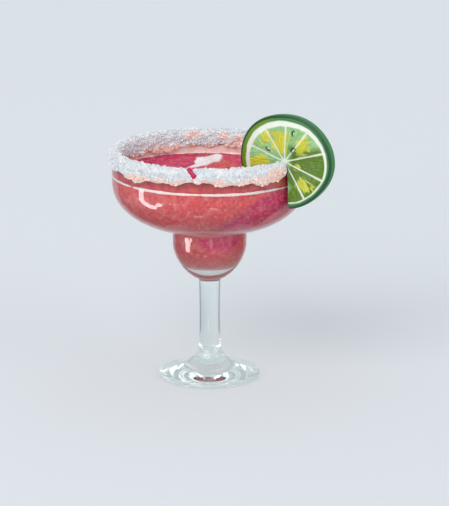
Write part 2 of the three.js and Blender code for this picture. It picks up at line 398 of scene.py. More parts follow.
def octahedron() -> tuple[Array, Index]:
    """A shard's six corners and eight faces, with a radius of 1."""
    corners = np.vstack([np.eye(3), -np.eye(3)])
    upper = [(0, 1, 2), (1, 3, 2), (3, 4, 2), (4, 0, 2)]
    lower = [(1, 0, 5), (3, 1, 5), (4, 3, 5), (0, 4, 5)]
    return corners, np.array(upper + lower)


def crystal() -> tuple[Array, Index]:
    """A salt crystal's eight corners and twelve faces: a cube with sides of 1."""
    corners = np.array(list(np.ndindex(2, 2, 2)), float) - 0.5
    quads = [(0, 1, 3, 2), (4, 6, 7, 5), (0, 4, 5, 1), (2, 3, 7, 6), (0, 2, 6, 4), (1, 5, 7, 3)]
    halves = [(a, b, c) for a, b, c, _ in quads] + [(a, c, d) for a, _, c, d in quads]
    return corners, np.array(halves)


def random_turns(count: int, draw: np.random.Generator) -> Array:
    """Random rotation matrices, from random unit quaternions.

    Args:
        count: How many to make.
        draw: The seeded source.

    Returns:
        An array of count 3 x 3 matrices.
    """
    w, x, y, z = unit(draw.normal(size=(count, 4))).T
    rows = [
        [1 - 2 * (y * y + z * z), 2 * (x * y - w * z), 2 * (x * z + w * y)],
        [2 * (x * y + w * z), 1 - 2 * (x * x + z * z), 2 * (y * z - w * x)],
        [2 * (x * z - w * y), 2 * (y * z + w * x), 1 - 2 * (x * x + y * y)],
    ]
    return np.moveaxis(np.array(rows), -1, 0)


def copied(faces: Index, corners: int, count: int) -> Index:
    """The faces of a small shape, repeated for copies whose corners follow each other."""
    return (faces[None] + corners * np.arange(count)[:, None, None]).reshape(-1, 3)


def scattered(
    shape: tuple[Array, Index], centres: Array, sizes: Array, draw: np.random.Generator
) -> tuple[Array, Index]:
    """Copies a small shape to many places, each turned at random and drawn out a little.

    Args:
        shape: Corners and three-sided faces.
        centres: Where the copies go.
        sizes: How large each is.
        draw: The seeded source.

    Returns:
        All the points and all the faces.
    """
    corners, faces = shape
    count = len(centres)
    stretch = 0.75 + 0.5 * draw.random((count, 1, 3))
    jitter = 1.0 + 0.16 * (draw.random((count, len(corners), 1)) - 0.5)
    local = corners[None] * stretch * jitter * sizes[:, None, None]
    points = np.einsum("nij,nkj->nki", random_turns(count, draw), local) + centres[:, None]
    return points.reshape(-1, 3), copied(faces, len(corners), count)


def linear(hex_code: str) -> tuple[float, float, float, float]:
    """Turns an sRGB hex colour into linear light.

    Args:
        hex_code: Six hexadecimal digits.

    Returns:
        Red, green, blue and an alpha of 1.
    """
    parts = np.array([int(hex_code[i : i + 2], 16) for i in (0, 2, 4)]) / 255.0
    light = np.where(parts <= 0.04045, parts / 12.92, ((parts + 0.055) / 1.055) ** 2.4)
    return (float(light[0]), float(light[1]), float(light[2]), 1.0)


def add_node(
    tree: bpy.types.NodeTree, kind: str, inputs: dict | None = None, **settings: Any
) -> bpy.types.Node:
    """Adds a shader node with its settings, values and links.

    Args:
        tree: The material's or world's node tree.
        kind: The node's type name without its "ShaderNode" prefix.
        inputs: Values or output sockets, by the input's name or number.
        settings: Properties of the node itself.

    Returns:
        The new node.
    """
    node = tree.nodes.new("ShaderNode" + kind)
    for name, value in settings.items():
        setattr(node, name, value)
    for name, value in (inputs or {}).items():
        if isinstance(value, bpy.types.NodeSocket):
            tree.links.new(value, node.inputs[name])
        else:
            node.inputs[name].default_value = value
    return node


def new_material(name: str) -> tuple[bpy.types.Material, bpy.types.NodeTree]:
    """Starts a material with an empty node tree."""
    material = bpy.data.materials.new(name)
    material.use_nodes = True
    material.node_tree.nodes.clear()
    return material, material.node_tree


def per_metre(millimetres: float) -> float:
    """The texture scale that repeats once in a length."""
    return 1000.0 / millimetres


@dataclass(frozen=True)
class Layer:
    """A colour laid over those below it, by a share from 0 to 1. Both may be values or sockets."""

    share: Any
    colour: Any
    blend: str = "MIX"


Look = tuple[Any, list[Layer], dict[str, Any]]


@dataclass(frozen=True)
class Finish:
    """A real material: its common name, roughness, index of refraction and painted zones."""

    name: str
    roughness: float = 0.35
    ior: float = 1.33
    zones: tuple[str, ...] = ()

    def look(self, tree: bpy.types.NodeTree, place: Any, zones: list[Any]) -> Look:
        """What the finish adds to a plain surface.

        Args:
            tree: The material's node tree.
            place: The socket that holds the Object coordinates, in metres.
            zones: The sockets of the painted zones, four for each colour attribute.

        Returns:
            The lowest colour, the layers over it, and the shader's other inputs by name.
        """
        raise NotImplementedError

    def material(self) -> bpy.types.Material:
        """Builds the material round one Principled shader."""
        material, tree = new_material(self.name)
        place = add_node(tree, "TexCoord").outputs["Object"]
        zones: list[Any] = []
        for name in self.zones:
            painted = add_node(tree, "Attribute", attribute_name=name)
            parts = add_node(tree, "SeparateColor", {"Color": painted.outputs["Color"]})
            zones += [*parts.outputs, painted.outputs["Alpha"]]
        colour, layers, look = self.look(tree, place, zones)
        for layer in layers:
            inputs = {0: layer.share, 6: colour, 7: layer.colour}
            colour = add_node(tree, "Mix", inputs, data_type="RGBA", blend_type=layer.blend).outputs[2]
        look |= {"Base Color": colour, "Roughness": self.roughness, "IOR": self.ior}
        body = add_node(tree, "BsdfPrincipled", look)
        add_node(tree, "OutputMaterial", {"Surface": body.outputs[0]})
        return material


@cache
def material_of(finish: Finish) -> bpy.types.Material:
    """The material of a finish, built once for all its pieces."""
    return finish.material()


@dataclass(frozen=True)
class ClearGlass(Finish):
    """Soda-lime glass, blown and fire polished: clear with a cold breath of green, mirror smooth."""

    name: str = "clear_soda_lime_glass"
    roughness: float = 0.0
    ior: float = 1.52
    tint: str = "F4FAF8"

    def material(self) -> bpy.types.Material:
        """Builds the glass, which lets lamps through as thin clear glass does."""
        material, tree = new_material(self.name)
        clear = {"Base Color": linear(self.tint), "Roughness": self.roughness, "IOR": self.ior}
        body = add_node(tree, "BsdfPrincipled", {**clear, "Transmission Weight": 1.0})
        passing = add_node(tree, "BsdfTransparent", {"Color": linear(self.tint)})
        shadow = add_node(tree, "LightPath").outputs["Is Shadow Ray"]
        both = add_node(tree, "MixShader", {0: shadow, 1: body.outputs[0], 2: passing.outputs[0]})
        add_node(tree, "OutputMaterial", {"Surface": both.outputs[0]})
        return material


@dataclass(frozen=True)
class FruitSlush(Finish):
    """Frozen fruit purée with shaved ice: coral red, marbled with crimson, wet and finely grained.

    Its zones also carry painted shade in crimson down the right of the bowl, painted light along the front of
    the top and a painted highlight in white on the crest.
    """

    name: str = "strawberry_ice_slush"
    zones: tuple[str, ...] = ("slush_zones",)
    coral: str = "D4484D"
    # The crimson and the deep crimson are also laid as painted shade down the right of the bowl.
    crimson: str = "DC2468"
    deep: str = "BC1054"
    # The ice colour is also laid as painted light along the front of the top, and in paler bands on the
    # walls.
    ice: str = "F2A09C"
    # White of the froth, also laid as a painted highlight on the crest and in the blot beside it.
    froth: str = "FCF4F4"
    cloud_mm: float = 5.0
    ice_grain_mm: float = 1.4
    fine_grain_mm: float = 0.7

    def look(self, tree: bpy.types.NodeTree, place: Any, zones: list[Any]) -> Look:
        """Soft clouds of paler ice over the marbling, and grains of 1.4 mm, each of its own shade.

        Real grains are finer. These are as coarse as they need to be to show.
        """
        crimson, pale, deep, painted_light_and_pale = zones
        cloud = {"Vector": place, "Scale": per_metre(self.cloud_mm), "Detail": 5.0, "Roughness": 0.65}
        cloudy = add_node(tree, "TexNoise", cloud).outputs[0]
        icy = add_node(tree, "MapRange", {"Value": cloudy, 1: 0.45, 2: 0.75, 3: 0.0, 4: 0.45}).outputs[0]
        # Ice over the clouds, painted light along the top's front and the paler bands on the walls.
        ice_and_painted_light = add_node(tree, "Math", {0: icy, 1: painted_light_and_pale}, operation="MAXIMUM").outputs[0]
        grain = add_node(tree, "TexVoronoi", {"Vector": place, "Scale": per_metre(self.ice_grain_mm)})
        own = add_node(tree, "SeparateColor", {"Color": grain.outputs["Color"]})
        shade = add_node(tree, "MapRange", {"Value": own.outputs["Red"], 3: 0.84, 4: 1.16})
        few = {"Value": own.outputs["Green"], 1: 0.86, 2: 0.94, 3: 0.0, 4: 0.28}
        flecks = add_node(tree, "MapRange", few)
        layers = [
            # On the walls the crimson and deep layers are painted shade.
            Layer(crimson, linear(self.crimson)),
            Layer(deep, linear(self.deep)),
            Layer(ice_and_painted_light, linear(self.ice)),
            Layer(1.0, shade.outputs[0], "MULTIPLY"),
            Layer(flecks.outputs[0], linear(self.ice)),
            # Painted highlight: froth white on the crest and in the blot beside it.
            Layer(pale, linear(self.froth)),
        ]
        fine = {"Vector": place, "Scale": per_metre(self.fine_grain_mm), "Detail": 2.0}
        height = add_node(tree, "TexNoise", fine).outputs[0]
        bump = add_node(tree, "Bump", {"Strength": 0.35, "Distance": 0.0004, "Height": height})
        wet = {"Coat Weight": 0.15, "Coat Roughness": 0.15, "Normal": bump.outputs[0]}
        depth = {"Subsurface Radius": (1.0, 0.35, 0.3), "Subsurface Scale": 0.0025}
        return linear(self.coral), layers, {**wet, **depth, "Subsurface Weight": 0.3}


@dataclass(frozen=True, kw_only=True)
class SoftFinish(Finish):
    """A pale or tinted food surface with one marbled pair of colours, such as froth, ice or salt."""

    light: str
    dark: str
    marble_mm: float
    subsurface_mm: float = 1.0
    coat: float = 0.0

    def look(self, tree: bpy.types.NodeTree, place: Any, zones: list[Any]) -> Look:
        """A noise of the named size between the two colours."""
        noise = {"Vector": place, "Scale": per_metre(self.marble_mm), "Detail": 3.0}
        marble = add_node(tree, "TexNoise", noise).outputs[0]
        share = add_node(tree, "MapRange", {"Value": marble, 1: 0.38, 2: 0.62}).outputs[0]
        depth = {"Subsurface Radius": (1.0, 0.8, 0.7), "Subsurface Scale": self.subsurface_mm * MM}
        look = {**depth, "Subsurface Weight": 0.3, "Coat Weight": self.coat}
        return linear(self.dark), [Layer(share, linear(self.light))], look


@dataclass(frozen=True)
class PackedSalt(Finish):
    """Moist coarse salt packed on the lip: white and matt, stained pink where the slush has soaked in."""

    name: str = "packed_coarse_salt"
    roughness: float = 0.6
    ior: float = 1.54
    zones: tuple[str, ...] = ("salt_zones",)
    white: str = "E2E3E4"
    stain: str = "F5D2C7"
    grain_mm: float = 1.1

    def look(self, tree: bpy.types.NodeTree, place: Any, zones: list[Any]) -> Look:
        """The bed under the loose grains: grains of 1.1 mm, some of them clean in the stained parts."""
        grain = add_node(tree, "TexVoronoi", {"Vector": place, "Scale": per_metre(self.grain_mm)})
        own = add_node(tree, "SeparateColor", {"Color": grain.outputs["Color"]}).outputs["Red"]
        clean = add_node(tree, "MapRange", {"Value": own, 1: 0.5, 2: 0.7, 3: 0.0, 4: 0.7}).outputs[0]
        white = linear(self.white)
        layers = [Layer(zones[0], linear(self.stain)), Layer(clean, white)]
        height = grain.outputs["Distance"]
        bump = add_node(tree, "Bump", {"Strength": 0.5, "Distance": 0.0005, "Height": height})
        look = {"Subsurface Weight": 0.2, "Subsurface Scale": 0.001, "Normal": bump.outputs[0]}
        return white, layers, look


@dataclass(frozen=True)
class LimeFlesh(Finish):
    """Cut lime: juicy pulp in light green and yellow, white pith and the green of the cut rind. The olive
    over the pulp's lower right, the dark green in the pips' pockets and the darker grooves between vesicles
    are painted shade.
    """

    name: str = "cut_lime_flesh"
    roughness: float = 0.22
    ior: float = 1.36
    zones: tuple[str, ...] = ("flesh_zones", "flesh_details")
    pulp: str = "98C886"
    yellow: str = "D6D23C"
    # Painted shade over the lower right of the pulp.
    olive: str = "5A7F0C"
    pith: str = "ECEEE0"
    cut_rind: str = "35803F"
    olive_rind: str = "688F18"
    # Painted shade in the pips' pockets.
    pocket: str = "1E4A22"
    vein_mm: float = 0.8

    def look(self, tree: bpy.types.NodeTree, place: Any, zones: list[Any]) -> Look:
        """The cut face from the zones painted on its points, with fine veins."""
        pith, yellow, olive, rind, shade, pocket, olive_rind_share, _ = zones
        # Painted shade: darker along the grooves between vesicles, with a random tone for each vesicle.
        dim = add_node(tree, "MapRange", {"Value": shade, 3: 0.72, 4: 1.12})
        greens = {0: olive_rind_share, 6: linear(self.cut_rind), 7: linear(self.olive_rind)}
        ring = add_node(tree, "Mix", greens, data_type="RGBA")
        layers = [
            Layer(yellow, linear(self.yellow)),
            # Painted shade: olive over the wheel's lower right.
            Layer(olive, linear(self.olive)),
            Layer(1.0, dim.outputs[0], "MULTIPLY"),
            Layer(pith, linear(self.pith)),
            Layer(rind, ring.outputs[2]),
            # Painted shade: dark green in the pips' pockets.
            Layer(pocket, linear(self.pocket)),
        ]
        veins = {"Vector": place, "Scale": per_metre(self.vein_mm), "Detail": 2.0}
        height = add_node(tree, "TexNoise", veins).outputs[0]
        bump = add_node(tree, "Bump", {"Strength": 0.25, "Distance": 0.0003, "Height": height})
        juicy = {"Coat Weight": 0.4, "Coat Roughness": 0.1, "Normal": bump.outputs[0]}
        depth = {"Subsurface Radius": (0.6, 1.0, 0.25), "Subsurface Scale": 0.002}
        return linear(self.pulp), layers, {**juicy, **depth, "Subsurface Weight": 0.25}


@dataclass(frozen=True)
class LimePeel(Finish):
    """Waxy lime peel: mid green with lighter patches, darker along its cut edges, with fine oil pores."""

    name: str = "waxy_lime_peel"
    roughness: float = 0.42
    ior: float = 1.45
    zones: tuple[str, ...] = ("peel_zones",)
    green: str = "317840"
    light_green: str = "418C46"
    edge: str = "0F4822"
    patch_mm: float = 6.0
    pore_mm: float = 1.3

    def look(self, tree: bpy.types.NodeTree, place: Any, zones: list[Any]) -> Look:
        """The peel. Its pores are drawn 1.3 mm apart, near their true size."""
        patches = {"Vector": place, "Scale": per_metre(self.patch_mm), "Detail": 3.0}
        mottle = add_node(tree, "TexNoise", patches).outputs[0]
        patch = add_node(tree, "MapRange", {"Value": mottle, 1: 0.35, 2: 0.65, 3: 0.0, 4: 0.4}).outputs[0]
        layers = [Layer(patch, linear(self.light_green)), Layer(zones[0], linear(self.edge))]
        pores = add_node(tree, "TexVoronoi", {"Vector": place, "Scale": per_metre(self.pore_mm)})
        depth = add_node(tree, "MapRange", {"Value": pores.outputs["Distance"], 2: 0.45}).outputs[0]
        bump = add_node(tree, "Bump", {"Strength": 0.35, "Distance": 0.0003, "Height": depth})
        waxy = {"Coat Weight": 0.1, "Coat Roughness": 0.25, "Normal": bump.outputs[0]}
        return linear(self.green), layers, waxy


# Froth is matt and nearly white. The thin film is glossy and pale, the thick one and the drip show the
# slush's own colour. Salt crystals are cut flat and glint, and the stained ones have soaked up some slush.
FROTH = SoftFinish("aerated_slush_froth", 0.4, light="FCF8F7", dark="F6E4E2", marble_mm=1.5)
THIN_FILM = SoftFinish(
    "thin_slush_film", 0.2, light="FDE9DF", dark="F9D3C6", marble_mm=3.5, subsurface_mm=0.6, coat=0.4
)
THICK_FILM = SoftFinish(
    "thick_slush_film", light="DA5656", dark="C6404A", marble_mm=4.0, subsurface_mm=0.6, coat=0.2
)
DRIP = SoftFinish("crimson_slush_drip", 0.3, light="C81C58", dark="B01248", marble_mm=2.0, coat=0.2)
WHITE_SALT = SoftFinish("coarse_salt_crystals", 0.25, 1.54, light="E9EAEB", dark="D8DBDF", marble_mm=2.0)
PINK_SALT = SoftFinish("stained_salt_crystals", 0.25, 1.54, light="FAE0D6", dark="F4C9BC", marble_mm=3.0)
SEED = SoftFinish("lime_pip", 0.3, 1.45, light="F3F1DC", dark="DDD9B4", marble_mm=1.0, coat=0.3)


def seat(piece: bpy.types.Object, finish: Finish, slot: Slot, *nodes: str) -> None:
    """Dresses a piece, lets it ride on the part's one body and hides the solids that it stands for.

    Args:
        piece: The finished mesh object.
        finish: What it is made of.
        slot: The record's slot that the finish belongs to. Not used.
        nodes: The solids that the piece replaces.
    """
    piece.data.materials.append(material_of(finish))
    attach(piece, BODY)
    if nodes:
        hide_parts(*nodes)
    log.info("%s: %d points, %d faces", piece.name, len(piece.data.vertices), len(piece.data.polygons))


@dataclass
class MargaritaGlass:
    """The clear glass: a round foot, a stem, a narrow lower bowl and a wide upper bowl."""

    lip_z: float = 142.0
    lip_r: float = 59.0
    lip_round: float = 0.9
    bowl_r: float = 60.0
    bowl_widest_z: float = 123.0
    wall: float = 2.6
    ledge_z: float = 95.0
    cup_r: float = 22.9
    cup_wall: float = 3.4
    cup_foot_z: float = 62.5
    cup_floor_z: float = 73.5
    cup_floor_r: float = 8.6
    stem_r: float = 6.4
    foot_r: float = 31.5
    foot_edge: float = 2.6
    sides: int = 224

    def outer_profile(self) -> Array:
        """The outside from the centre of the foot to the lip."""
        foot_r, stem_r, cup_r, bowl_r = self.foot_r, self.stem_r, self.cup_r, self.bowl_r
        lip_r, cup_z, ledge_z = self.lip_r, self.cup_foot_z, self.ledge_z
        return outline(
            (0.0, 0.0),
            (15.0, 0.0),
            (foot_r - 0.9, 0.0),
            ((foot_r - 0.3, 0.0), (foot_r, 0.3), (foot_r, 1.0), 4),
            ((foot_r, 1.7), (foot_r - 0.5, 2.4), (foot_r - 1.2, self.foot_edge), 4),
            ((20.0, 4.6), (7.4, 8.0), (stem_r + 0.3, 20.0), 30),
            ((stem_r - 0.1, 34.0), (stem_r - 0.1, 48.0), (stem_r + 0.3, cup_z - 2.0), 12),
            ((stem_r + 0.4, cup_z), (stem_r + 2.0, cup_z + 0.5), (stem_r + 4.0, cup_z + 1.4), 8),
            ((14.2, 66.4), (cup_r - 1.7, 72.6), (cup_r, 84.0), 20),
            (cup_r, ledge_z - 2.6),
            ((cup_r + 0.1, ledge_z - 1.0), (cup_r + 1.2, ledge_z - 0.6), (cup_r + 3.4, ledge_z), 8),
            ((43.0, ledge_z + 3.7), (bowl_r - 1.3, 107.0), (bowl_r, self.bowl_widest_z), 40),
            ((bowl_r, 126.0), (bowl_r, 129.0), (bowl_r - 0.1, 131.0), 5),
            ((bowl_r - 0.2, 134.5), (lip_r + 0.3, 138.0), (lip_r, self.lip_z - self.lip_round), 8),
        )

    def lip_profile(self) -> Array:
        """The fire-polished lip: half an ellipse over the top of the wall."""
        angle = np.linspace(0.0, math.pi, 9)[1:-1]
        middle = self.lip_r - self.wall / 2.0
        r = middle + self.wall / 2.0 * np.cos(angle)
        return np.stack([r, self.lip_z - self.lip_round + self.lip_round * np.sin(angle)], axis=1)

    def inner_profile(self) -> Array:
        """The inside from the lip down to the centre of the lower bowl's floor."""
        lip_r, bowl_r, cup_r = self.lip_r - self.wall, self.bowl_r - self.wall, self.cup_r - self.cup_wall
        floor_r, floor_z, ledge_z = self.cup_floor_r, self.cup_floor_z, self.ledge_z
        return outline(
            (lip_r, self.lip_z - self.lip_round),
            ((lip_r + 0.2, 138.0), (bowl_r - 0.45, 134.5), (bowl_r - 0.25, 131.0), 8),
            ((bowl_r - 0.1, 129.0), (bowl_r - 0.1, 126.0), (bowl_r - 0.1, self.bowl_widest_z), 5),
            ((bowl_r - 1.8, 109.4), (41.8, ledge_z + 7.0), (self.cup_r + 2.2, ledge_z + 3.4), 36),
            ((self.cup_r - 0.6, ledge_z + 2.8), (cup_r, ledge_z + 2.0), (cup_r, ledge_z - 0.4), 8),
            (cup_r - 0.2, 85.5),
            ((18.4, 79.6), (12.6, 76.4), (floor_r, floor_z + 0.5), 14),
            ((floor_r - 0.8, floor_z + 0.2), (floor_r - 2.0, floor_z), (floor_r - 4.0, floor_z), 3),
            (0.0, floor_z),
        )

    def build(self) -> None:
        """Turns the whole profile and puts the clear glass in place of its solid."""
        profile = np.vstack([self.outer_profile(), self.lip_profile(), self.inner_profile()])
        points, faces = turned(profile, self.sides)
        seat(make_piece("stemmed_glass", points, faces), ClearGlass(), Slot.GLASS, "glass")


@dataclass
class LimeWheel:
    """The slit lime wheel on the lip: flesh with segments and vesicles, peel and three pips.

    A yellow patch is its middle and its half sizes, across and up.
    """

    glass: MargaritaGlass
    half_width: float = 30.6
    half_height: float = 28.4
    thick: float = 7.0
    on_rim_deg: float = 36.0
    turn_deg: float = 28.0
    centre_z: float = 144.3
    segments: int = 10
    segment_start_deg: float = -20.0
    pulp_bulge: float = 0.5
    rind_belly: float = 0.45
    twist: float = 4.2
    gap: float = 0.3
    slit_half: float = 2.1
    slit_foot_inner: float = 3.9
    slit_foot_outer: float = 3.7
    vesicle_relief: float = 0.26
    peel_from: float = 0.957
    flesh_to: float = 0.965
    pip_half: Point = (1.25, 0.62)
    pocket_half: Point = (2.3, 1.35)
    pocket_depth: float = 0.9
    pips: tuple[Point, ...] = ((-11.0, 6.5), (5.2, 7.4), (5.6, 17.6))
    yellow_patches: tuple[Point, ...] = (
        (-12.7, 13.9, 4.4, 3.6),
        (-6.0, 16.2, 7.0, 2.0),
        (-2.8, 10.8, 5.6, 6.6),
        (11.6, 10.0, 4.6, 5.6),
        (-17.0, -1.6, 6.6, 3.6),
        (12.7, -12.7, 6.0, 4.2),
        (8.8, -2.2, 2.6, 2.2),
    )
    cells: CellNoise = field(default_factory=lambda: CellNoise(3))
    noise: SpaceNoise = field(default_factory=lambda: SpaceNoise(29))

    @property
    def mean_r(self) -> float:
        """Radius that shares of the radius are measured by round the slit."""
        return self.half_height - self.rind_belly

    @property
    def foot_point(self) -> tuple[float, float]:
        """Where the slit's middle line crosses the middle of the lip, seen from above."""
        turn, r = math.radians(self.on_rim_deg), self.glass.lip_r - self.glass.wall / 2.0
        return r * math.cos(turn), -r * math.sin(turn)

    def radius(self, turn: Array) -> Array:
        """Outer radius in a direction: an ellipse with a little unevenness."""
        round_ = np.hypot(self.half_width * np.cos(turn), self.half_height * np.sin(turn))
        return round_ * (1.0 + 0.01 * np.sin(3 * turn + 0.6) + 0.006 * np.sin(5 * turn + 2.0))

    def slit_angle(self, r: Array, foot_half: float) -> Array:
        """Angle between the slit's middle line and one of its lips, at distances from the centre.

        The lip runs round a quarter circle at the slit's top, then straight out to its foot.

        Args:
            r: Distances from the centre of the wheel.
            foot_half: Half width of that side at the rind.

        Returns:
            The angle in radians, 0 above the slit.
        """
        top = self.centre_z - (self.glass.lip_z + self.gap + 0.05)
        bend = np.linspace(0.0, math.pi / 2.0, 12)
        w = np.append(self.slit_half * np.sin(bend), foot_half)
        v = np.append(top + self.slit_half * (1.0 - np.cos(bend)), self.half_height + 4.0)
        line = even_steps(np.stack([w, v], axis=1), 200)
        across, down = line.T
        return np.interp(r, np.hypot(across, down), np.arctan2(across, down), left=0.0)

    def directions(self, shares: Array, steps: int) -> Array:
        """Directions of the points at each share of the radius, from one lip of the slit to the other."""
        r = shares * self.mean_r
        right = self.slit_angle(r, self.slit_foot_outer)[:, None]
        left = self.slit_angle(r, self.slit_foot_inner)[:, None]
        t = np.linspace(0.0, 1.0, steps)[None, :]
        return -math.pi / 2.0 + right + t * (TAU - right - left)

    def segment_phase(self, turn: Array) -> Array:
        """Counts the segments round the wheel, with a whole number at each membrane."""
        return (turn - math.radians(self.segment_start_deg)) * self.segments / TAU

    def rind_start(self, turn: Array) -> Array:
        """Share of the radius at which the cut rind starts: it is widest at the left."""
        return 0.895 - 0.025 * np.cos(turn - math.radians(170.0))

    def pulp_edge(self, turn: Array) -> Array:
        """Share of the radius at which the pulp ends: the pith is thickest at the upper left."""
        return self.rind_start(turn) - 0.07 - 0.045 * np.cos(turn - math.radians(120.0))

    def vesicles(self, r: Array, turn: Array) -> tuple[Array, Array]:
        """Juice vesicles as long cells that point to the centre.

        Args:
            r: Distances from the centre in millimetres.
            turn: Directions.

        Returns:
            How far inside its cell each point is, and each cell's own random number.
        """
        bend = 0.5 * np.sin(r / 3.1) + 0.8 * self.noise.at(np.stack([r, 9 * turn, 0 * r], axis=-1), 4.0)
        _, inside, own = self.cells.at(turn * 17.0 + 0.35 * bend, r / 3.6 + 1.7 * np.sin(turn * 17.0))
        return smooth(inside, 0.02, 0.4), own

    def half_thickness(self, share: Array, turn: Array, r: Array) -> Array:
        """Half the thickness: flat pith, pulp that bulges in each segment and its vesicles."""
        across = np.abs(np.sin(math.pi * self.segment_phase(turn))) ** 0.6
        ring = smooth(share, 0.08, 0.24) * (1.0 - smooth(share, 0.76, 0.86))
        edge = 0.9 * smooth(share, 0.94, 1.0)
        vesicle, own = self.vesicles(r, turn)
        relief = self.vesicle_relief * (vesicle - 0.75 + 0.35 * own) * ring * smooth(across, 0.3, 0.7)
        return self.thick / 2.0 + self.pulp_bulge * across * ring - edge + relief

    def swing(self, u: Array, v: Array) -> Array:
        """How far the slit's lips swing out of the wheel's plane: twist * below^2 * u / hypot(u, 7)."""
        below = np.maximum(0.0, -v) / self.half_height
        return self.twist * below**2 * u / np.hypot(u, 7.0)

    def placed(self, u: Array, v: Array, w: Array) -> Array:
        """Puts the wheel on the lip: u runs outwards over the lip, v up and w to the viewer's left.

        Args:
            u: Distance from the slit's middle line.
            v: Distance above the wheel's centre.
            w: Distance from the wheel's middle plane.

        Returns:
            Positions in millimetres.
        """
        w = w + self.swing(u, v)
        turn = math.radians(self.turn_deg)
        foot_x, foot_y = self.foot_point
        x = foot_x + u * math.cos(turn) - w * math.sin(turn)
        y = foot_y - u * math.sin(turn) - w * math.cos(turn)
        return np.stack([x, y, self.centre_z + v], axis=-1)

    def depth_inside(self, points: Array) -> Array:
        """How far inside the half of the wheel over the drink points lie, and below 0 outside of it.

        It is the least of the distances to the cut faces, to the rind and to the slit's inner lip.

        Args:
            points: Positions in millimetres.

        Returns:
            One number for each position.
        """
        turn = math.radians(self.turn_deg)
        x, y, v = np.moveaxis(points - np.array([*self.foot_point, self.centre_z]), -1, 0)
        u = x * math.cos(turn) - y * math.sin(turn)
        w = -x * math.sin(turn) - y * math.cos(turn) - self.swing(u, v)
        rind = self.radius(np.arctan2(v, u)) - np.hypot(u, v)
        below = np.maximum(0.0, -v) / self.half_height
        lip = self.slit_half + (self.slit_foot_inner - self.slit_half) * below
        return np.minimum(np.minimum(self.thick / 2.0 - np.abs(w), rind), -u - lip)

    def pocket(self, u: Array, v: Array) -> Array:
        """How deep in a pip's pocket a point of the front face is, from 0 to 1."""
        depth = np.zeros_like(u)
        for pip_u, pip_v in self.pips:
            a, b = unit(np.array([pip_u, pip_v]))
            along = (u - pip_u) * a + (v - pip_v) * b
            aside = (u - pip_u) * b - (v - pip_v) * a
            far = ellipse(along, aside, (0.0, 0.0), self.pocket_half)
            depth = np.maximum(depth, 1.0 - smooth(far, 0.55, 1.0))
        return depth

    def flesh_zones(self, share: Array, turn: Array, u: Array, v: Array) -> tuple[Array, Array]:
        """Colours of the cut faces.

        Args:
            share: Share of the outer radius.
            turn: Directions.
            u: Distance from the slit's middle line.
            v: Distance above the centre.

        Returns:
            Two sets of four numbers: pith, yellow, olive painted shade and cut rind; then the painted shade
                between
            the vesicles with a random tone, the pockets' painted shade, how olive the rind is, and 1.
        """
        flat, r = np.stack([u, v, 0 * u], axis=-1), np.hypot(u, v)
        phase = self.segment_phase(turn)
        from_wall = np.abs(phase - np.round(phase)) * TAU / self.segments * r
        wall_width = 0.42 + 0.25 * smooth(share, 0.5, 0.84)
        membrane = 1.0 - smooth(from_wall, wall_width * 0.5, wall_width * 1.5)
        core = 1.0 - smooth(r + 0.5 * self.noise.at(flat, 1.5), 1.4, 2.6)
        edge = self.pulp_edge(turn) + 0.012 * self.noise.at(flat, 3.0)
        ring = smooth(share, edge - 0.012, edge + 0.012)
        pith = np.maximum(np.maximum(0.85 * membrane, core), ring)
        rind_start = self.rind_start(turn) + 0.01 * self.noise.at(flat + 8.0, 4.0)
        rind = smooth(share, rind_start - 0.008, rind_start + 0.016)
        # The cut rind is more olive towards the upper left.
        olive_rind_share = smooth(-np.cos(turn + math.radians(20.0)), 0.4, 0.8)
        vesicle, own = self.vesicles(r, turn)
        far = [ellipse(u, v, patch[:2], patch[2:]) for patch in self.yellow_patches]
        patches = 1.0 - np.min(far, axis=0) + 0.5 * self.noise.at(flat + 5.0, 3.5) + 0.7 * (own - 0.5)
        yellow = smooth(patches, -0.12, 0.22)
        # Painted shade: the wheel's lower right, which lies in shade, is olive.
        low_right = smooth(u + 2.0 * self.noise.at(flat, 5.0), 1.0, 5.5)
        low_right *= 1.0 - smooth(v + 1.5 * self.noise.at(flat + 3.0, 5.0), 7.0, 12.0)
        olive = low_right * (1.0 - 0.85 * yellow)
        zones = np.stack([pith, yellow, olive, rind], axis=-1)
        # Painted shade: darker along the grooves between vesicles, with a random tone for each vesicle.
        shade = np.clip(0.25 + 0.6 * vesicle + 0.3 * (own - 0.5), 0.0, 1.0)
        # Painted shade: dark green in the pips' pockets, carried in the second set.
        details = np.stack([shade, self.pocket(u, v), olive_rind_share, 1 + 0 * u], axis=-1)
        return zones, details

    def block(self, shares: Array, layers: int, steps: int) -> tuple[Array, ...]:
        """The grid of a slit ring or disc.

        Args:
            shares: Shares of the outer radius, from inside out.
            layers: Points from the front face to the back face.
            steps: Points round the centre.

        Returns:
            Share, level (1 at the front face, -1 at the back), direction, u, v and w of each point.
        """
        turn = self.directions(shares, steps)[:, None, :]
        level = np.linspace(1.0, -1.0, layers)[None, :, None]
        share = shares[:, None, None] + 0 * level + 0 * turn
        turn = turn + 0 * share
        level = level + 0 * share
        belly = self.rind_belly * np.sqrt(1.0 - level**2) * smooth(share, 0.94, 1.0)
        r = share * (self.radius(turn) - self.rind_belly) + belly
        u, v = r * np.cos(turn), r * np.sin(turn)
        w = level * self.half_thickness(share, turn, r)
        return share, level, turn, u, v, w

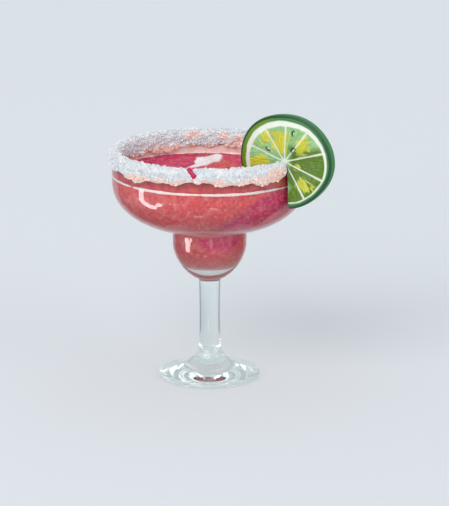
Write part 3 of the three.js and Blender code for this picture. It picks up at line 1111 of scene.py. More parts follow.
    def build_flesh(self) -> None:
        """Builds pulp, membranes, pith and cut rind as one slit disc, with pockets in its front face."""
        shares = np.concatenate([np.linspace(0.0, 0.06, 4), np.linspace(0.075, self.flesh_to, 74)])
        share, level, turn, u, v, w = self.block(shares, layers=6, steps=600)
        w = w - self.pocket_depth * self.pocket(u, v) * smooth(level, 0.5, 1.0)
        zones, details = self.flesh_zones(share, turn, u, v)
        details[..., 1] *= level > 0.9
        open_ = self.slit_angle(shares * self.mean_r, self.slit_foot_outer) > 0.0
        faces = block_faces(share.shape, int(np.argmax(open_)) - 1, hollow=False)
        painted = {"flesh_zones": zones, "flesh_details": details}
        piece = make_piece("lime_flesh", self.placed(u, v, w), faces, painted)
        merge_doubles(piece)
        seat(piece, LimeFlesh(), Slot.LIME, "lime_wheel")

    def build_peel(self) -> None:
        """Builds the peel as a slit ring round the flesh."""
        shares = np.linspace(self.peel_from, 1.0, 6)
        share, level, _, u, v, w = self.block(shares, layers=15, steps=520)
        edge = one_zone(smooth(np.abs(level), 0.72, 0.95))
        faces = block_faces(share.shape, 0, hollow=True)
        piece = make_piece("lime_peel", self.placed(u, v, w), faces, {"peel_zones": edge})
        seat(piece, LimePeel(), Slot.LIME)

    def build_pips(self, rows: int = 14, sides: int = 20) -> None:
        """Builds the pips: teardrops that point to the centre and lie half sunk in their pockets."""
        turn = around(sides)
        along = np.cos(math.pi * np.linspace(0.0, 1.0, rows))[:, None]
        girth = np.sqrt(np.clip(1.0 - along**2, 0.0, 1.0)) * (0.8 + 0.25 * along)
        long, wide = self.pip_half[0] * along + 0 * turn, self.pip_half[1] * girth * np.cos(turn)
        lift = self.thick / 2.0 - 0.15 + 0.45 * girth * np.sin(turn)
        bodies = []
        for pip_u, pip_v in self.pips:
            a, b = unit(np.array([pip_u, pip_v]))
            u = pip_u + 0.5 * b + long * a + wide * b
            v = pip_v - 0.5 * a + long * b - wide * a
            bodies.append(self.placed(u, v, lift))
        index = np.arange(len(bodies) * rows * sides).reshape(len(bodies), rows, sides)
        faces = np.vstack([quads_of(body, closed=True) for body in index])
        piece = make_piece("lime_pips", np.concatenate(bodies), [faces])
        merge_doubles(piece)
        seat(piece, SEED, Slot.LIME)

    def build(self) -> None:
        """Builds the wheel's pieces."""
        self.build_flesh()
        self.build_peel()
        self.build_pips()


@dataclass
class Slush:
    """The drink: a body pressed to the glass, a swirled surface with one crest, froth, ice and films.

    The slanted line, the top of the painted shade down the right of the bowl, and the pale side are given by
    pairs of a height and how far right they lie there.
    """

    glass: MargaritaGlass
    lime: LimeWheel
    level_z: float = 129.0
    surface_r: float = 57.0
    reach: float = 0.15
    swirl_arms: int = 2
    swirl_pitch: float = 23.0
    swirl_height: float = 0.8
    lump_height: float = 0.35
    crest_height: float = 2.4
    crest_half_width: float = 4.2
    crest_bow: float = 3.0
    crest_start: Point = (-12.0, 8.0)
    crest_end: Point = (6.0, 46.0)
    blot: Point = (-2.4, 32.0)
    blot_half: Point = (7.6, 11.5)
    coral_patch: Point = (9.0, 22.0)
    coral_patch_half: Point = (13.0, 15.0)
    neck_patch: Point = (4.0, 90.0)
    neck_patch_half: Point = (11.0, 6.5)
    neck_top_z: float = 98.0
    slant: tuple[Point, ...] = ((100.0, 3.0), (110.0, 9.0), (116.0, 14.0), (120.0, 21.0), (128.0, 40.0))
    pale_side: tuple[Point, ...] = ((103.0, 17.0), (110.0, 30.0), (116.0, 40.0), (119.0, 49.0))
    slot_clearance: float = 0.65
    slot_depth: float = 14.0
    surface_steps: int = 216
    wall_rows: int = 46
    grain_relief: float = 0.28
    chip_count: int = 3600
    chip_radius: Point = (0.35, 0.9)
    noise: SpaceNoise = field(default_factory=lambda: SpaceNoise(5))

    def along_crest(self, x: Array, y: Array) -> tuple[Array, Array]:
        """Where a point lies along the crest's bowed line and how far beside it.

        Args:
            x: Positions to the right.
            y: Positions away from the viewer.

        Returns:
            The share of the crest's length, and the distance to its side in millimetres.
        """
        start = np.array(self.crest_start)
        line = np.array(self.crest_end) - start
        length = np.hypot(*line)
        share = ((x - start[0]) * line[0] + (y - start[1]) * line[1]) / length**2
        bow = self.crest_bow * np.sin(math.pi * np.clip(share, 0.0, 1.0))
        aside = ((x - start[0]) * line[1] - (y - start[1]) * line[0]) / length - bow
        return share, aside

    def crest_share(self, x: Array, y: Array) -> Array:
        """The crest's height from 0 to 1: a bell curve across, with a long taper at its near end."""
        share, aside = self.along_crest(x, y)
        taper = smooth(share, -0.12, 0.35) * (1.0 - smooth(share, 0.8, 1.12))
        return taper * np.exp(-((aside / self.crest_half_width) ** 2))

    def froth_and_highlight_share(self, x: Array, y: Array) -> Array:
        """How pale the surface is, from 0 to 1: along the raised crest and in a flat blot beside it. The
        white is froth and a painted highlight.
        """
        ragged = self.noise.at(np.stack([x, y, 0.0 * x], axis=-1), 5.0)
        blot = 1.0 - smooth(ellipse(x, y, self.blot, self.blot_half) + 0.14 * ragged, 0.8, 1.0)
        streak = smooth(self.crest_share(x + 1.5, y) + 0.03 * ragged, 0.1, 0.34)
        return np.maximum(streak, blot)

    def height(self, x: Array, y: Array) -> Array:
        """Height over the mean level: spiral ridges, soft lumps about 30 and 24 mm long, and the crest."""
        r = np.hypot(x, y)
        turn = np.arctan2(y, x)
        swirl = np.sin(self.swirl_arms * turn + TAU * r / self.swirl_pitch)
        calm = smooth(r, 3.0, 14.0) * (1.0 - 0.55 * smooth(r, 44.0, 57.0))
        lumps = self.lump_height * np.sin(0.21 * x + 1.1) * np.cos(0.26 * y - 0.4)
        return (self.swirl_height * swirl + lumps) * calm + self.crest_height * self.crest_share(x, y)

    def grain(self, points: Array) -> Array:
        """Relief of the ice grains: two sizes of space noise, laid over each other."""
        coarse = np.abs(self.noise.at(points, 2.4))
        fine = self.noise.at(points + 50.0, 1.1)
        return self.grain_relief * (0.9 * coarse + 0.6 * fine)

    def slot(self, x: Array, y: Array) -> Array:
        """Depth of the slot that the lime wheel stands in.

        Each column is dug as far down as it stays inside the wheel by the clearance, so that no gap shows.
        The slot's walls lean in 1 mm in 10.

        Args:
            x: Positions to the right.
            y: Positions away from the viewer.

        Returns:
            How far the surface is lowered, in millimetres.
        """
        depth = np.zeros_like(x)
        inside = np.ones(x.shape, bool)
        for step in np.arange(0.0, self.slot_depth, 0.5):
            level = np.stack([x, y, self.level_z - step + 0.0 * x], axis=-1)
            inside &= self.lime.depth_inside(level) > self.slot_clearance + 0.1 * step
            depth[inside] = step
        return depth

    def wall_radius(self, z: Array | float) -> Array:
        """Inner radius of the glass at a height of the upper bowl."""
        inner = self.glass.inner_profile()[::-1]
        return np.interp(z, inner[:, 1], inner[:, 0])

    def surface_zones(self, x: Array, y: Array, wobble: Array) -> Array:
        """The surface's colours: crimson over its far left, pale froth with a painted highlight, and painted
        light along its front, where the salt rim shades it.
        """
        patch = ellipse(x, y, self.coral_patch, self.coral_patch_half) + 0.05 * wobble
        crimson = smooth(y + wobble, -4.0, 5.0) * smooth(patch, 0.8, 1.1)
        streaks = 0.55 + 0.3 * smooth(wobble, 0.0, 4.0) + 0.15 * smooth(y, 46.0, 52.0)
        # Painted light: the top is lighter along its front, where the salt rim shades it.
        painted_light_and_pale = 0.5 * smooth(np.hypot(x, y), 42.0, 56.0) * smooth(-y, 5.0, 20.0)
        return np.stack([crimson, 0.95 * self.froth_and_highlight_share(x, y), crimson * streaks, painted_light_and_pale], axis=-1)

    def wall_zones(self, x: Array, z: Array, wobble: Array) -> Array:
        """The colours at the glass.

        Crimson below a slanted line down the right of the bowl is painted shade, darkest just under the line,
        with a patch of the same painted shade at the lower bowl's neck. The slush is painted paler at the
        foot of each bowl and at the far right.

        Args:
            x: Positions to the right.
            z: Heights.
            wobble: How far the borders are shifted.

        Returns:
            Four numbers for each position.
        """
        over_ledge = smooth(z, self.glass.ledge_z, self.glass.ledge_z + 4.0)
        below_line = 0.7 * (x - np.interp(z, *np.transpose(self.slant))) + 0.6 * wobble
        # Painted shade: crimson below the slanted line, down the right of the upper bowl.
        shade_below_line = smooth(below_line, -0.6, 1.4) * over_ledge
        # Painted shade: a crimson patch at the lower bowl's neck.
        neck = ellipse(x, z, self.neck_patch, self.neck_patch_half) + 0.06 * wobble
        crimson = np.maximum(shade_below_line, (1.0 - smooth(neck, 0.85, 1.1)) * (z < self.neck_top_z))
        # Painted shade: the deepest crimson, in a band just under the slanted line.
        border = smooth(below_line, -1.0, 1.0) * (1.0 - smooth(below_line, 2.0, 7.0)) * over_ledge
        deep = np.maximum(0.85 * border, 0.4 * crimson)
        # Painted paler bands at the ledge, at the foot of the lower bowl and at the far right.
        ledge = 1.0 - smooth(z + 0.4 * wobble, 101.0, 105.0)
        ledge *= 0.85 * smooth(z + 0.25 * wobble, 95.0, 96.5)
        foot = 0.4 * (1.0 - smooth(z + 0.5 * wobble, 76.0, 84.0))
        beyond = x - np.interp(z, *np.transpose(self.pale_side)) + 0.5 * wobble
        side = 0.6 * smooth(beyond, -1.0, 2.5) * over_ledge * (1.0 - smooth(z, 120.0, 124.0))
        painted_light_and_pale = np.maximum(np.maximum(ledge, foot), side)
        return np.stack([crimson * (1.0 - ledge), 0.45 * ledge, deep * (1.0 - ledge), painted_light_and_pale], axis=-1)

    def zones(self, points: Array) -> Array:
        """The slush's colours: crimson, pale froth, the deepest crimson and a paler tint, from 0 to 1. On the
        walls the crimsons are painted shade; on the top the pale froth holds a painted highlight and the
        paler tint painted light.

        Args:
            points: Positions in millimetres.

        Returns:
            Four numbers for each position.
        """
        x, y, z = np.moveaxis(points, -1, 0)
        wobble = 4.0 * self.noise.at(points, 13.0) + 1.6 * self.noise.at(points + 9.0, 4.5)
        high = smooth(z, self.level_z - 3.5, self.level_z - 1.6)
        on_top = high * (np.hypot(x, y) < self.surface_r) > 0.5
        surface, wall = self.surface_zones(x, y, wobble), self.wall_zones(x, z, wobble)
        return np.where(on_top[..., None], surface, wall)

    def top(self) -> Array:
        """The surface, as a grid of points.

        The square (s, t) becomes the disc (s sqrt(1 - t^2/2), t sqrt(1 - s^2/2)), so the grid stays even.
        """
        side = np.linspace(-1.0, 1.0, self.surface_steps + 1)
        s, t = np.meshgrid(side, side)
        edge_r = float(self.wall_radius(self.level_z)) + self.reach
        x = edge_r * s * np.sqrt(1.0 - t * t / 2.0)
        y = edge_r * t * np.sqrt(1.0 - s * s / 2.0)
        top = np.stack([x, y, self.level_z + self.height(x, y)], axis=-1)
        inside = 1.0 - smooth(np.hypot(x, y), edge_r - 1.2, edge_r)
        top[..., 2] += inside * self.grain(top) - self.slot(x, y)
        return top

    def wall_line(self) -> Array:
        """Points up the inside of the glass to just under the level, moved into the wall by the reach."""
        inner = self.glass.inner_profile()[::-1]
        wall = push_out(inner[inner[:, 1] < self.level_z - 0.8], self.reach)
        return even_steps(wall, self.wall_rows + 1)[1:]

    def build_body(self) -> None:
        """Builds the slush as one closed skin: the surface, and columns of points down the glass."""
        top, wall = self.top(), self.wall_line()
        number = np.arange(top.size // 3).reshape(top.shape[:2])
        loop = np.concatenate([number[0, :-1], number[:-1, -1], number[-1, :0:-1], number[:0:-1, 0]])
        rim = top.reshape(-1, 3)[loop]
        columns = polar(wall[:, :1], np.arctan2(rim[:, 1], rim[:, 0]), wall[:, 1:])
        index = number.size + np.arange(columns.size // 3).reshape(columns.shape[:2])
        points = np.vstack([top.reshape(-1, 3), columns.reshape(-1, 3), [[0.0, 0.0, wall[0, 1]]]])
        pole = np.full(len(loop), len(points) - 1)
        fan = np.stack([pole, np.roll(index[0], -1), index[0]], axis=1)
        sides = quads_of(np.vstack([index, loop]), closed=True)
        faces = [np.vstack([quads_of(number, closed=False), sides]), fan]
        piece = make_piece("slush_body", points, faces, {"slush_zones": self.zones(points)})
        seat(piece, FruitSlush(), Slot.SLUSH, "drink")

    def build_froth(self, sides: int = 720, corners: int = 14) -> None:
        """Builds the bead of froth where the surface meets the glass: an uneven ellipse carried round."""
        turn, angle = around(sides), around(corners)[:, None]
        ring = polar(self.surface_r, turn, 0.0)
        uneven = self.noise.at(ring, 7.0) + 0.5 * self.noise.at(ring + 20.0, 2.5)
        half_width = 1.0 + 0.4 * uneven
        half_height = 0.85 + 0.3 * uneven
        middle_z = self.level_z - 0.45 + 0.25 * self.noise.at(ring + 40.0, 16.0)
        z = middle_z + half_height * np.sin(angle)
        wall_r = self.wall_radius(z) + self.reach + 0.06
        r = np.minimum(wall_r - 0.55 + half_width * np.cos(angle), wall_r)
        points = polar(r, turn, z)
        points[..., 2] += 0.06 * self.noise.at(points, 0.9)
        seat(make_piece("froth_ring", points, [tube_faces(corners, sides)]), FROTH, Slot.SLUSH)

    def build_film(
        self, name: str, finish: SoftFinish, tops: Array, thick: float, rows: int = 10
    ) -> None:
        """Builds a film left on the glass over the level.

        Args:
            name: The piece's name.
            finish: What it is made of.
            tops: Height of its upper edge at even steps round the glass.
            thick: How far it stands off the wall.
            rows: Points from its foot to its top.
        """
        foot_z = self.level_z - 0.1
        share = np.linspace(0.0, 1.0, rows)[:, None]
        z = foot_z + (tops - foot_z) * share
        wall_r = self.wall_radius(z)
        inner_r = wall_r - thick * (1.0 - smooth(share, 0.7, 1.0)) - 0.02
        outer_r = wall_r + 0.18 - 0.3 * thick
        r, height = np.vstack([outer_r, inner_r[::-1]]), np.vstack([z, z[::-1]])
        faces = tube_faces(2 * rows, len(tops))
        seat(make_piece(name, polar(r, around(len(tops)), height), [faces]), finish, Slot.SLUSH)

    def build_films(self, sides: int = 540) -> None:
        """Builds a thick coral film, up to the salt in front, and a pale one, high at the back."""
        turn = around(sides)
        ring = polar(self.surface_r, turn, 0.0)
        uneven = self.noise.at(ring + 70.0, 9.0) + 0.5 * self.noise.at(ring, 3.0)
        back = smooth(np.sin(turn), -0.35, 0.25)
        thin_top = self.level_z + 0.25 + 4.2 * back + (0.1 + 0.65 * back) * uneven
        self.build_film("thin_film", THIN_FILM, thin_top, 0.28)
        front = smooth(-np.sin(turn), -0.1, 0.3)
        thick_top = np.maximum(self.level_z + 0.1 + (8.0 + 0.5 * uneven) * front, thin_top - 0.3)
        self.build_film("thick_film", THICK_FILM, thick_top, 0.2)

    def build_ice(self) -> None:
        """Strews ice chips over the surface: eight-sided shards in the slush's own colours, half sunk."""
        draw = np.random.default_rng(23)
        r = (self.surface_r - 1.5) * np.sqrt(draw.random(self.chip_count))
        turn = TAU * draw.random(self.chip_count)
        smallest, largest = self.chip_radius
        size = smallest + (largest - smallest) * draw.random(self.chip_count) ** 2
        x, y = r * np.cos(turn), r * np.sin(turn)
        centre = np.stack([x, y, self.level_z + self.height(x, y) + 0.12], axis=-1)
        keep = (self.froth_and_highlight_share(x, y) < 0.1) & (self.lime.depth_inside(centre) < 0.2)
        points, faces = scattered(octahedron(), centre[keep], size[keep], draw)
        zones = self.zones(points)
        zones[:, 3] = np.maximum(zones[:, 3], 0.2)
        seat(make_piece("ice_chips", points, [faces], {"slush_zones": zones}), FruitSlush(), Slot.SLUSH)

    def build(self) -> None:
        """Builds the drink's pieces."""
        self.build_body()
        self.build_froth()
        self.build_films()
        self.build_ice()


class Mulberry:
    """The small seeded generator that also places the largest grains on the solid crust."""

    def __init__(self, seed: int) -> None:
        """Starts at a seed."""
        self.state = seed

    def __call__(self) -> float:
        """The next number from 0 to 1, by 32-bit multiplies and shifts."""
        self.state = (self.state + 0x6D2B79F5) & 0xFFFFFFFF
        t = ((self.state ^ (self.state >> 15)) * (1 | self.state)) & 0xFFFFFFFF
        t = (((t + (((t ^ (t >> 7)) * (61 | t)) & 0xFFFFFFFF)) & 0xFFFFFFFF) ^ t) & 0xFFFFFFFF
        return (t ^ (t >> 14)) / 4294967296.0


@dataclass
class SaltCrust:
    """The crust of coarse salt over the lip: a packed bed, loose and stained crystals, and a drip on it.

    A stain is a middle and its reach each way. A knot of the drip is its degrees, radius and height.
    """

    glass: MargaritaGlass
    lime: LimeWheel
    gap: float = 0.3
    thick: float = 1.15
    top: float = 2.1
    outer_drop: float = 7.0
    inner_drop: float = 9.2
    keep_off_deg: float = 4.6
    crystal_count: int = 7400
    crystal_side: Point = (0.7, 1.65)
    crystal_power: float = 1.6
    large_count: int = 54
    large_top_from: float = 0.44
    large_inside_from: float = 0.72
    large_size: float = 2.0
    large_keep_off_deg: float = 7.0
    stains: tuple[tuple[Point, Point], ...] = (
        ((-8.0, 54.0, 141.0), (5.5, 6.0, 2.0)),
        ((9.0, 54.0, 139.5), (3.0, 6.0, 1.8)),
        ((19.0, 51.0, 138.0), (4.0, 7.0, 4.5)),
        ((42.0, -44.0, 138.5), (9.0, 9.0, 4.5)),
    )
    drip_knots: tuple[Point, ...] = (
        (-102.6, 56.9, 143.9),
        (-101.7, 58.8, 144.4),
        (-100.8, 60.2, 143.8),
        (-99.6, 61.05, 142.2),
        (-98.4, 61.25, 140.6),
        (-97.6, 61.25, 139.5),
    )
    drip_half_width: float = 1.75
    sides: int = 540
    noise: SpaceNoise = field(default_factory=lambda: SpaceNoise(17))

    @property
    def outer_r(self) -> float:
        """Radius of the crust's channel outside the lip."""
        return self.glass.bowl_r - 0.2 + self.gap

    @property
    def inner_r(self) -> float:
        """Radius of the crust's channel inside the lip."""
        return self.glass.lip_r - self.glass.wall - self.gap

    @property
    def middle_r(self) -> float:
        """Radius of the crust's crown."""
        return (self.outer_r + self.inner_r) / 2.0

    def ragged(self, turn: Array, outside: Array | bool) -> Array:
        """Ragged lower edge as a share of the mean drop: sines of 5, 13 and 29 waves round the lip."""
        phase = np.where(outside, 0.7, 2.9)
        waves = 0.16 * np.sin(5 * turn + phase) + 0.12 * np.sin(13 * turn + 2 * phase)
        return 1.0 + waves + 0.08 * np.sin(29 * turn)

    def profile(self) -> Array:
        """The crust's cross-section, a thick skin over the lip with two skirts."""
        lip_z, out_r, in_r, thick = self.glass.lip_z, self.outer_r, self.inner_r, self.thick
        outer_foot = lip_z - self.outer_drop
        inner_foot = lip_z - self.inner_drop
        corners = [
            (out_r, outer_foot),
            (out_r + 0.5, outer_foot - 0.2),
            (out_r + thick, outer_foot + 2.4),
            (out_r + thick, lip_z - 0.8),
            (out_r + 0.3, lip_z + 1.5),
            (self.middle_r, lip_z + self.top),
            (in_r - 0.3, lip_z + 1.4),
            (in_r - thick, lip_z - 1.2),
            (in_r - thick, inner_foot + 2.4),
            (in_r - 0.5, inner_foot - 0.2),
            (in_r, inner_foot),
            (in_r, lip_z - 0.6),
            (in_r + 0.7, lip_z + self.gap),
            (out_r - 1.4, lip_z + self.gap),
            (out_r, lip_z - 0.6),
            (out_r, outer_foot),
        ]
        return np.array(corners)

    def sagged(self, r: Array, turn: Array, z: Array) -> tuple[Array, Array]:
        """Gives the plain ring its ragged skirts and its lumps.

        Args:
            r: Radii.
            turn: Angles about the axis.
            z: Heights.

        Returns:
            The new radii and heights.
        """
        lip_z = self.glass.lip_z
        outside = r > self.middle_r
        drop = np.where(outside, self.outer_drop, self.inner_drop)
        low = smooth((lip_z - z - 2.0) / (drop - 4.0), 0.0, 1.0)
        z = z - low * drop * (self.ragged(turn, outside) - 1.0)
        skin = np.where(outside, r - self.outer_r, self.inner_r - r)
        lump = 0.22 * np.sin(31 * turn + 0.9 * z) * smooth(skin, 0.6, 1.0) * np.where(outside, 1.0, -1.0)
        return r + lump, z + 0.3 * np.sin(23 * turn) * smooth(z, lip_z + 1.0, lip_z + 2.0)

    def stain(self, points: Array) -> Array:
        """How pink the salt is, from 0 to 1: along the ragged lower edges and in patches on the top.

        Args:
            points: Positions in millimetres.

        Returns:
            One number for each position.
        """
        x, y, z = np.moveaxis(points, -1, 0)
        outside = np.hypot(x, y) > self.middle_r
        patchy = self.noise.at(points, 6.5) + 0.5 * self.noise.at(points + 30.0, 2.2)
        edge_z = np.where(outside, 137.9 - 3.0 * smooth(-x, 34.0, 56.0), 134.6)
        low = 1.0 - smooth(z + 1.8 * patchy, edge_z - 0.8, edge_z + 0.8)
        spots = [np.linalg.norm((points - centre) / reach, axis=-1) for centre, reach in self.stains]
        spot = 1.0 - smooth(np.min(spots, axis=0) + 0.5 * patchy, 0.6, 1.3)
        return np.clip(np.maximum(low, spot), 0.0, 1.0)

    def build_bed(self) -> None:
        """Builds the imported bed: the cross-section carried round the lip, left open at the lime wheel."""
        section = even_steps(self.profile(), 72)[:-1]
        start = -math.radians(self.lime.on_rim_deg - self.keep_off_deg)
        turn = start + (TAU - 2 * math.radians(self.keep_off_deg)) * np.linspace(0.0, 1.0, self.sides)
        r = np.repeat(section[:, :1], self.sides, axis=1)
        z = np.repeat(section[:, 1:], self.sides, axis=1)
        r, z = self.sagged(r, turn + 0.0 * r, z)
        points = polar(r, turn, z)
        skin = smooth(np.maximum(r - self.outer_r, self.inner_r - r), 0.3, 0.9)
        skin = np.maximum(skin, smooth(z, self.glass.lip_z + 0.9, self.glass.lip_z + 1.4))
        relief = skin * (0.14 * self.noise.at(points, 1.2) + 0.1 * self.noise.at(points + 11.0, 2.6))
        outwards = np.where(r > self.middle_r, 1.0, -1.0)
        points[..., :2] *= (1.0 + outwards * relief / r)[..., None]
        points[..., 2] += relief
        index = np.arange(r.size).reshape(r.shape)
        ends = [index[:, 0][None], index[::-1, -1][None]]
        skins = quads_of(np.vstack([index, index[:1]]), closed=False)
        zones = {"salt_zones": one_zone(self.stain(points))}
        piece = make_piece("salt_bed", points, [skins, *ends], zones)
        seat(piece, PackedSalt(), Slot.SALT, "salt_crust")

    def skin_place(self, skirt: Skirt, share: Array) -> tuple[Array, Array]:
        """A place on one face of the crust's skin.

        Args:
            skirt: Which face.
            share: From 0 at one edge of the face to 1 at the other.

        Returns:
            Radius and height before the skirts are made ragged.
        """
        lip_z = self.glass.lip_z
        if skirt is Skirt.OUTSIDE:
            return self.outer_r + self.thick + 0 * share, lip_z - 0.6 - share * (self.outer_drop - 1.0)
        if skirt is Skirt.INSIDE:
            return self.inner_r - self.thick + 0 * share, lip_z - 0.6 - share * (self.inner_drop - 1.0)
        half = self.outer_r - self.middle_r + 0.9
        angle = math.pi * (0.06 + 0.88 * share)
        return self.middle_r + half * np.cos(angle), lip_z - 0.4 + (self.top + 0.4) * np.sin(angle)

    def build_crystals(self) -> None:
        """Strews crystals over the crust's skin, and sorts them into clean and stained ones."""
        draw = np.random.default_rng(41)
        share_of = {Skirt.OUTSIDE: 0.36, Skirt.TOP: 0.27, Skirt.INSIDE: 0.37}
        centres = []
        for skirt, part in share_of.items():
            count = int(part * self.crystal_count)
            turn = TAU * draw.random(count) - math.pi
            r, z = self.skin_place(skirt, draw.random(count))
            r, z = self.sagged(r, turn, z)
            centres.append(polar(r, turn, z))
        centre = np.concatenate(centres)
        off = np.abs(np.arctan2(centre[:, 1], centre[:, 0]) + math.radians(self.lime.on_rim_deg))
        centre = centre[off > math.radians(self.keep_off_deg + 0.6)]
        centre = centre[self.from_drip(centre) > self.drip_half_width + 0.35]
        smallest, largest = self.crystal_side
        size = smallest + (largest - smallest) * draw.random(len(centre)) ** self.crystal_power
        stained = self.stain(centre) + 0.7 * (draw.random(len(centre)) - 0.5) > 0.5
        kinds = [("salt_crystals", ~stained, WHITE_SALT), ("stained_salt_crystals", stained, PINK_SALT)]
        for name, chosen, finish in kinds:
            points, faces = scattered(crystal(), centre[chosen], size[chosen], draw)
            self.seat_grains(name, points, faces, finish)

    def in_box(self, points: Array) -> Array:
        """Keeps points within the solid crust's own box."""
        low, high = (np.array(corner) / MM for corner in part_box("salt_crust"))
        return np.clip(points, low, high)

    def seat_grains(self, name: str, points: Array, faces: Index, finish: SoftFinish) -> None:
        """Gives grains flat faces and seats them.

        Args:
            name: The piece's name.
            points: All corners, in millimetres.
            faces: All faces.
            finish: What the grains are made of.
        """
        piece = make_piece(name, self.in_box(points), [faces])
        piece.data.polygons.foreach_set("use_smooth", np.zeros(len(piece.data.polygons), bool))
        seat(piece, finish, Slot.SALT)

    def large_grains(self) -> tuple[Array, Array]:
        """Centres and rotated, scaled axes of the largest grains, by the same draws as on the solid.

        Returns:
            The centres, and one 3 x 3 matrix for each grain that turns and scales a unit cube.
        """
        draw = Mulberry(11)
        golden = math.pi * (3.0 - math.sqrt(5.0))
        outer, inner = self.outer_r + self.thick, self.inner_r - self.thick
        lip_z = self.glass.lip_z
        centres: list[Point] = []
        shapes: list[Array] = []
        step = 0
        while len(centres) < self.large_count:
            turn = (step * golden) % TAU
            step += 1
            size = self.large_size * (0.7 + 0.5 * draw())
            place = draw()
            if abs(turn - (TAU - math.radians(self.lime.on_rim_deg))) < math.radians(self.large_keep_off_deg):
                continue
            r, z = outer, lip_z - 0.4 - draw() * (self.outer_drop - 2.6)
            if place > self.large_inside_from:
                r, z = inner, lip_z - 0.4 - draw() * (self.inner_drop - 3.0)
            elif place > self.large_top_from:
                r, z = inner + (outer - inner) * (0.25 + 0.5 * draw()), lip_z + self.top - 0.3
            sides = np.diag([size, size * (0.75 + 0.3 * draw()), size * 0.8])
            turned_by = Euler([draw() * math.pi for _ in range(3)], "XYZ").to_matrix()
            centres.append((r * math.cos(turn), r * math.sin(turn), z))
            shapes.append(np.array(turned_by) @ sides)
        return np.array(centres), np.array(shapes)

    def build_large_grains(self) -> None:
        """Builds the largest grains where the solid has them, but for those that the drip covers."""
        centres, shapes = self.large_grains()
        clear = self.from_drip(centres) > self.drip_half_width + 0.65
        corners, faces = crystal()
        points = np.einsum("nij,kj->nki", shapes[clear], corners) + centres[clear][:, None]
        numbers = copied(faces, len(corners), len(points))
        self.seat_grains("large_salt_grains", points.reshape(-1, 3), numbers, WHITE_SALT)

    def drip_path(self, steps: int = 40) -> Array:
        """The drip's middle line: from inside the lip over its top and down the front, smoothed."""
        degrees, r, z = np.transpose(self.drip_knots)
        line = even_steps(polar(r, np.radians(degrees), z), steps)
        for _ in range(3):
            line[1:-1] = (line[:-2] + 2.0 * line[1:-1] + line[2:]) / 4.0
        return line

    def from_drip(self, points: Array) -> Array:
        """Distance of each point from the drip's middle line."""
        return np.min(np.linalg.norm(points[:, None] - self.drip_path(), axis=-1), axis=1)

    def build_drip(self, corners: int = 14) -> None:
        """Builds the crimson drip over the front of the crust: a flattened tube along its path."""
        line = self.drip_path()
        along = unit(np.gradient(line, axis=0))
        outward = unit(line * (1.0, 1.0, 0.0))
        lift = outward + np.array([0.0, 0.0, 0.8]) * smooth(line[:, 2:], 142.0, 144.5)
        lift = unit(lift - along * np.sum(lift * along, axis=1, keepdims=True))
        aside = np.cross(along, lift)
        share = np.linspace(0.0, 1.0, len(line))[:, None]
        width = self.drip_half_width * (0.8 + 0.35 * smooth(share, 0.6, 0.9))
        width *= np.sqrt(np.clip(9.0 * share, 0.0, 1.0) * np.clip(9.0 * (1.0 - share), 0.02, 1.0))
        angle = around(corners)[:, None]
        ring = aside[:, None] * np.cos(angle) + 0.48 * lift[:, None] * np.sin(angle)
        points = self.in_box(line[:, None] + width[..., None] * ring)
        index = np.arange(len(line) * corners).reshape(len(line), corners)
        ends = [index[0][None], index[-1, ::-1][None]]
        piece = make_piece("drip_on_salt", points, [quads_of(index, closed=True)[:, ::-1], *ends])
        seat(piece, DRIP, Slot.SLUSH)

    def build(self) -> None:
        """Builds the crust's pieces."""
        self.build_bed()
        self.build_crystals()
        self.build_large_grains()
        self.build_drip()


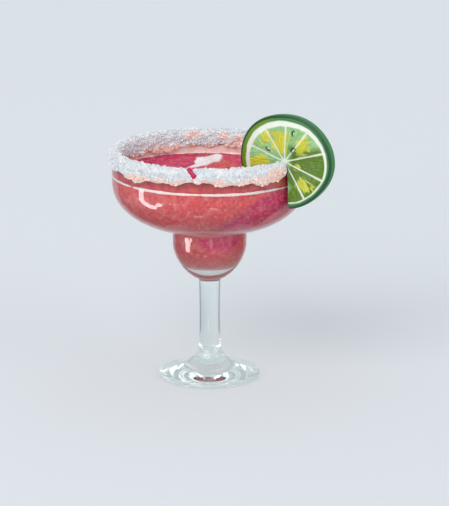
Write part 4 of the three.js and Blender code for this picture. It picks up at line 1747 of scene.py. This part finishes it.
@dataclass
class Studio:
    """A pale floor, soft lamps, grey cards that draw the glass's edges, and the camera."""

    camera_mm: Point = (9.2, -1448.0, 462.0)
    look_at_mm: Point = (9.2, 0.0, 78.0)
    focal_px: float = 2419.0
    frame_height_px: float = 506.0
    film_mm: float = 36.0
    floor: str = "E5E9EC"
    sky: str = "E9EEF3"
    sky_strength: float = 0.72
    seen_sky_strength: float = 0.88
    sun_strength: float = 1.3
    fill_strength: float = 0.8
    sun_spread_deg: float = 50.0
    card_grey: str = "9CA2A8"
    side_card_grey: str = "C9CED3"
    reflector_strength: float = 11.0

    def build_camera(self) -> None:
        """Sets the camera at the picture's angle, with a focal length found from its perspective."""
        data = bpy.data.cameras.new("camera")
        data.sensor_width = self.film_mm
        data.lens = self.focal_px * self.film_mm / self.frame_height_px
        data.clip_end = 50.0
        camera = add_object("camera", data)
        camera.location = Vector(self.camera_mm) * MM
        aim(camera, (Vector(self.look_at_mm) - Vector(self.camera_mm)) * MM)
        bpy.context.scene.camera = camera

    def card(
        self, name: str, quads: list[list[Point]], kind: str, look: dict, unseen: tuple[str, ...]
    ) -> None:
        """Makes a flat card, or the floor.

        Args:
            name: The object's name.
            quads: Its four-sided parts, by their corners in metres.
            kind: The type of its one shader.
            look: The shader's inputs.
            unseen: The kinds of rays that pass through it.
        """
        mesh = bpy.data.meshes.new(name)
        corners = [corner for quad in quads for corner in quad]
        mesh.from_pydata(corners, [], np.arange(len(corners)).reshape(-1, 4).tolist())
        material, tree = new_material(name + "_paper")
        add_node(tree, "OutputMaterial", {"Surface": add_node(tree, kind, look).outputs[0]})
        mesh.materials.append(material)
        card = add_object(name, mesh)
        for ray in unseen:
            setattr(card, "visible_" + ray, False)

    def matt_card(self, name: str, corners: list[Point], colour: str, unseen: tuple[str, ...] = ()) -> None:
        """Makes a matt card of one sRGB colour."""
        paper = {"Base Color": linear(colour), "Roughness": 0.8, "Specular IOR Level": 0.0}
        self.card(name, [corners], "BsdfPrincipled", paper, unseen)

    def build_floor(self) -> None:
        """Lays the floor a hair under the foot."""
        half, z = 6.0, -0.00005
        corners = [(-half, -half, z), (half, -half, z), (half, half, z), (-half, half, z)]
        self.matt_card("floor", corners, self.floor)

    def build_cards(self) -> None:
        """Sets grey cards beside the view, which only the glass's reflections and refractions see."""
        lying = [(0.06, -0.06), (0.8, -0.06), (0.8, 0.66), (0.06, 0.06)]
        upright = [(0.0, 0.0), (0.75, 0.0), (0.75, 0.45), (0.0, 0.45)]
        unseen = ("camera", "diffuse", "shadow")
        for side, name in ((-1.0, "left"), (1.0, "right")):
            flat = [(side * x, y, 0.001) for x, y in lying]
            self.matt_card("lying_card_" + name, flat, self.card_grey, unseen)
            wall = [(side * 0.55, y, z) for y, z in upright]
            self.matt_card("upright_card_" + name, wall, self.side_card_grey, unseen)

    def build_reflectors(self) -> None:
        """Lays glowing cards, whose mirror images are the bowls' hook, dabs and dashes of light."""
        near = [(-0.165, -0.075), (-0.191, -0.054), (-0.254, -0.039), (-0.333, -0.022), (-0.64, -0.04)]
        far = [(-0.205, -0.118), (-0.222, -0.098), (-0.258, -0.086), (-0.35, -0.075), (-0.66, -0.12)]
        hook = [[near[i], far[i], far[i + 1], near[i + 1]] for i in range(len(near) - 1)]
        curl = [[(-0.201, -0.098), (-0.197, -0.134), (-0.253, -0.196), (-0.281, -0.162)]]
        dabs = [
            [(-0.318, -0.174), (-0.264, -0.238), (-0.25, -0.23), (-0.305, -0.167)],
            [(-0.26, -0.225), (-0.203, -0.289), (-0.191, -0.276), (-0.247, -0.213)],
        ]
        dashes = [
            [(0.004, -0.264), (0.042, -0.252), (0.035, -0.208), (0.003, -0.21)],
            [(-0.042, -0.127), (-0.02, -0.134), (-0.018, -0.11), (-0.037, -0.103)],
        ]
        unseen = ("camera", "diffuse", "transmission", "shadow")
        kinds = [("bright", hook + curl, 1.0), ("middle", dabs, 0.6), ("faint", dashes, 0.3)]
        for name, shapes, share in kinds:
            quads = [[(x, y, 0.002) for x, y in shape] for shape in shapes]
            glow = {"Color": linear("FFFFFF"), "Strength": share * self.reflector_strength}
            self.card(name + "_reflector", quads, "Emission", glow, unseen)

    def lamp(self, name: str, kind: str, place: Point, direction: Point, **settings: Any) -> None:
        """Hangs a lamp.

        Args:
            name: Its name.
            kind: "SUN" for one that is far away and lights evenly, or "AREA".
            place: Where it hangs, in metres.
            direction: Which way it shines.
            settings: Its power, size and other properties.
        """
        data = bpy.data.lights.new(name, kind)
        for key, value in settings.items():
            setattr(data, key, value)
        lamp = add_object(name, data)
        lamp.location = place
        aim(lamp, direction)

    def build_lamps(self) -> None:
        """Lights evenly from far away on both sides, with a small window lamp for sparkle."""
        spread, sky = math.radians(self.sun_spread_deg), (0.0, 0.0, 1.0)
        self.lamp("daylight", "SUN", sky, (0.4, 0.8, -0.6), energy=self.sun_strength, angle=spread)
        self.lamp("fill_light", "SUN", sky, (-0.85, 0.6, -0.3), energy=self.fill_strength, angle=spread)
        window = {"shape": "RECTANGLE", "size": 0.45, "size_y": 0.6, "energy": 1.0}
        self.lamp("window", "AREA", (-0.75, -0.75, 0.75), (0.75, 0.75, -0.64), **window)

    def build_sky(self) -> None:
        """Fills the surroundings with pale even light, as bright behind the floor as the floor itself."""
        world = bpy.data.worlds.new("pale_room")
        world.use_nodes = True
        tree = world.node_tree
        tree.nodes.clear()
        seen = add_node(tree, "LightPath").outputs["Is Camera Ray"]
        levels = {"Value": seen, 3: self.sky_strength, 4: self.seen_sky_strength}
        strength = add_node(tree, "MapRange", levels)
        sky = add_node(tree, "Background", {"Color": linear(self.sky), "Strength": strength.outputs[0]})
        add_node(tree, "OutputWorld", {"Surface": sky.outputs[0]})
        bpy.context.scene.world = world
        bpy.context.scene.view_settings.view_transform = "Standard"

    def set_light_paths(self) -> None:
        """Lets light be mirrored often enough inside the solid foot, which is black with fewer steps."""
        cycles = bpy.context.scene.cycles
        cycles.max_bounces = 32
        cycles.glossy_bounces = 24
        cycles.transmission_bounces = 24

    def build(self) -> None:
        """Builds the stage."""
        self.build_camera()
        self.build_floor()
        self.build_cards()
        self.build_reflectors()
        self.build_lamps()
        self.build_sky()
        self.set_light_paths()


def main() -> None:
    """Builds the drink, then the stage."""
    logging.basicConfig(level=logging.INFO, format="%(message)s")
    glass = MargaritaGlass()
    lime = LimeWheel(glass)
    builders: list[Callable[[], None]] = [
        glass.build,
        Slush(glass, lime).build,
        SaltCrust(glass, lime).build,
        lime.build,
        Studio().build,
    ]
    for build in builders:
        build()


if __name__ == "__main__":
    main()
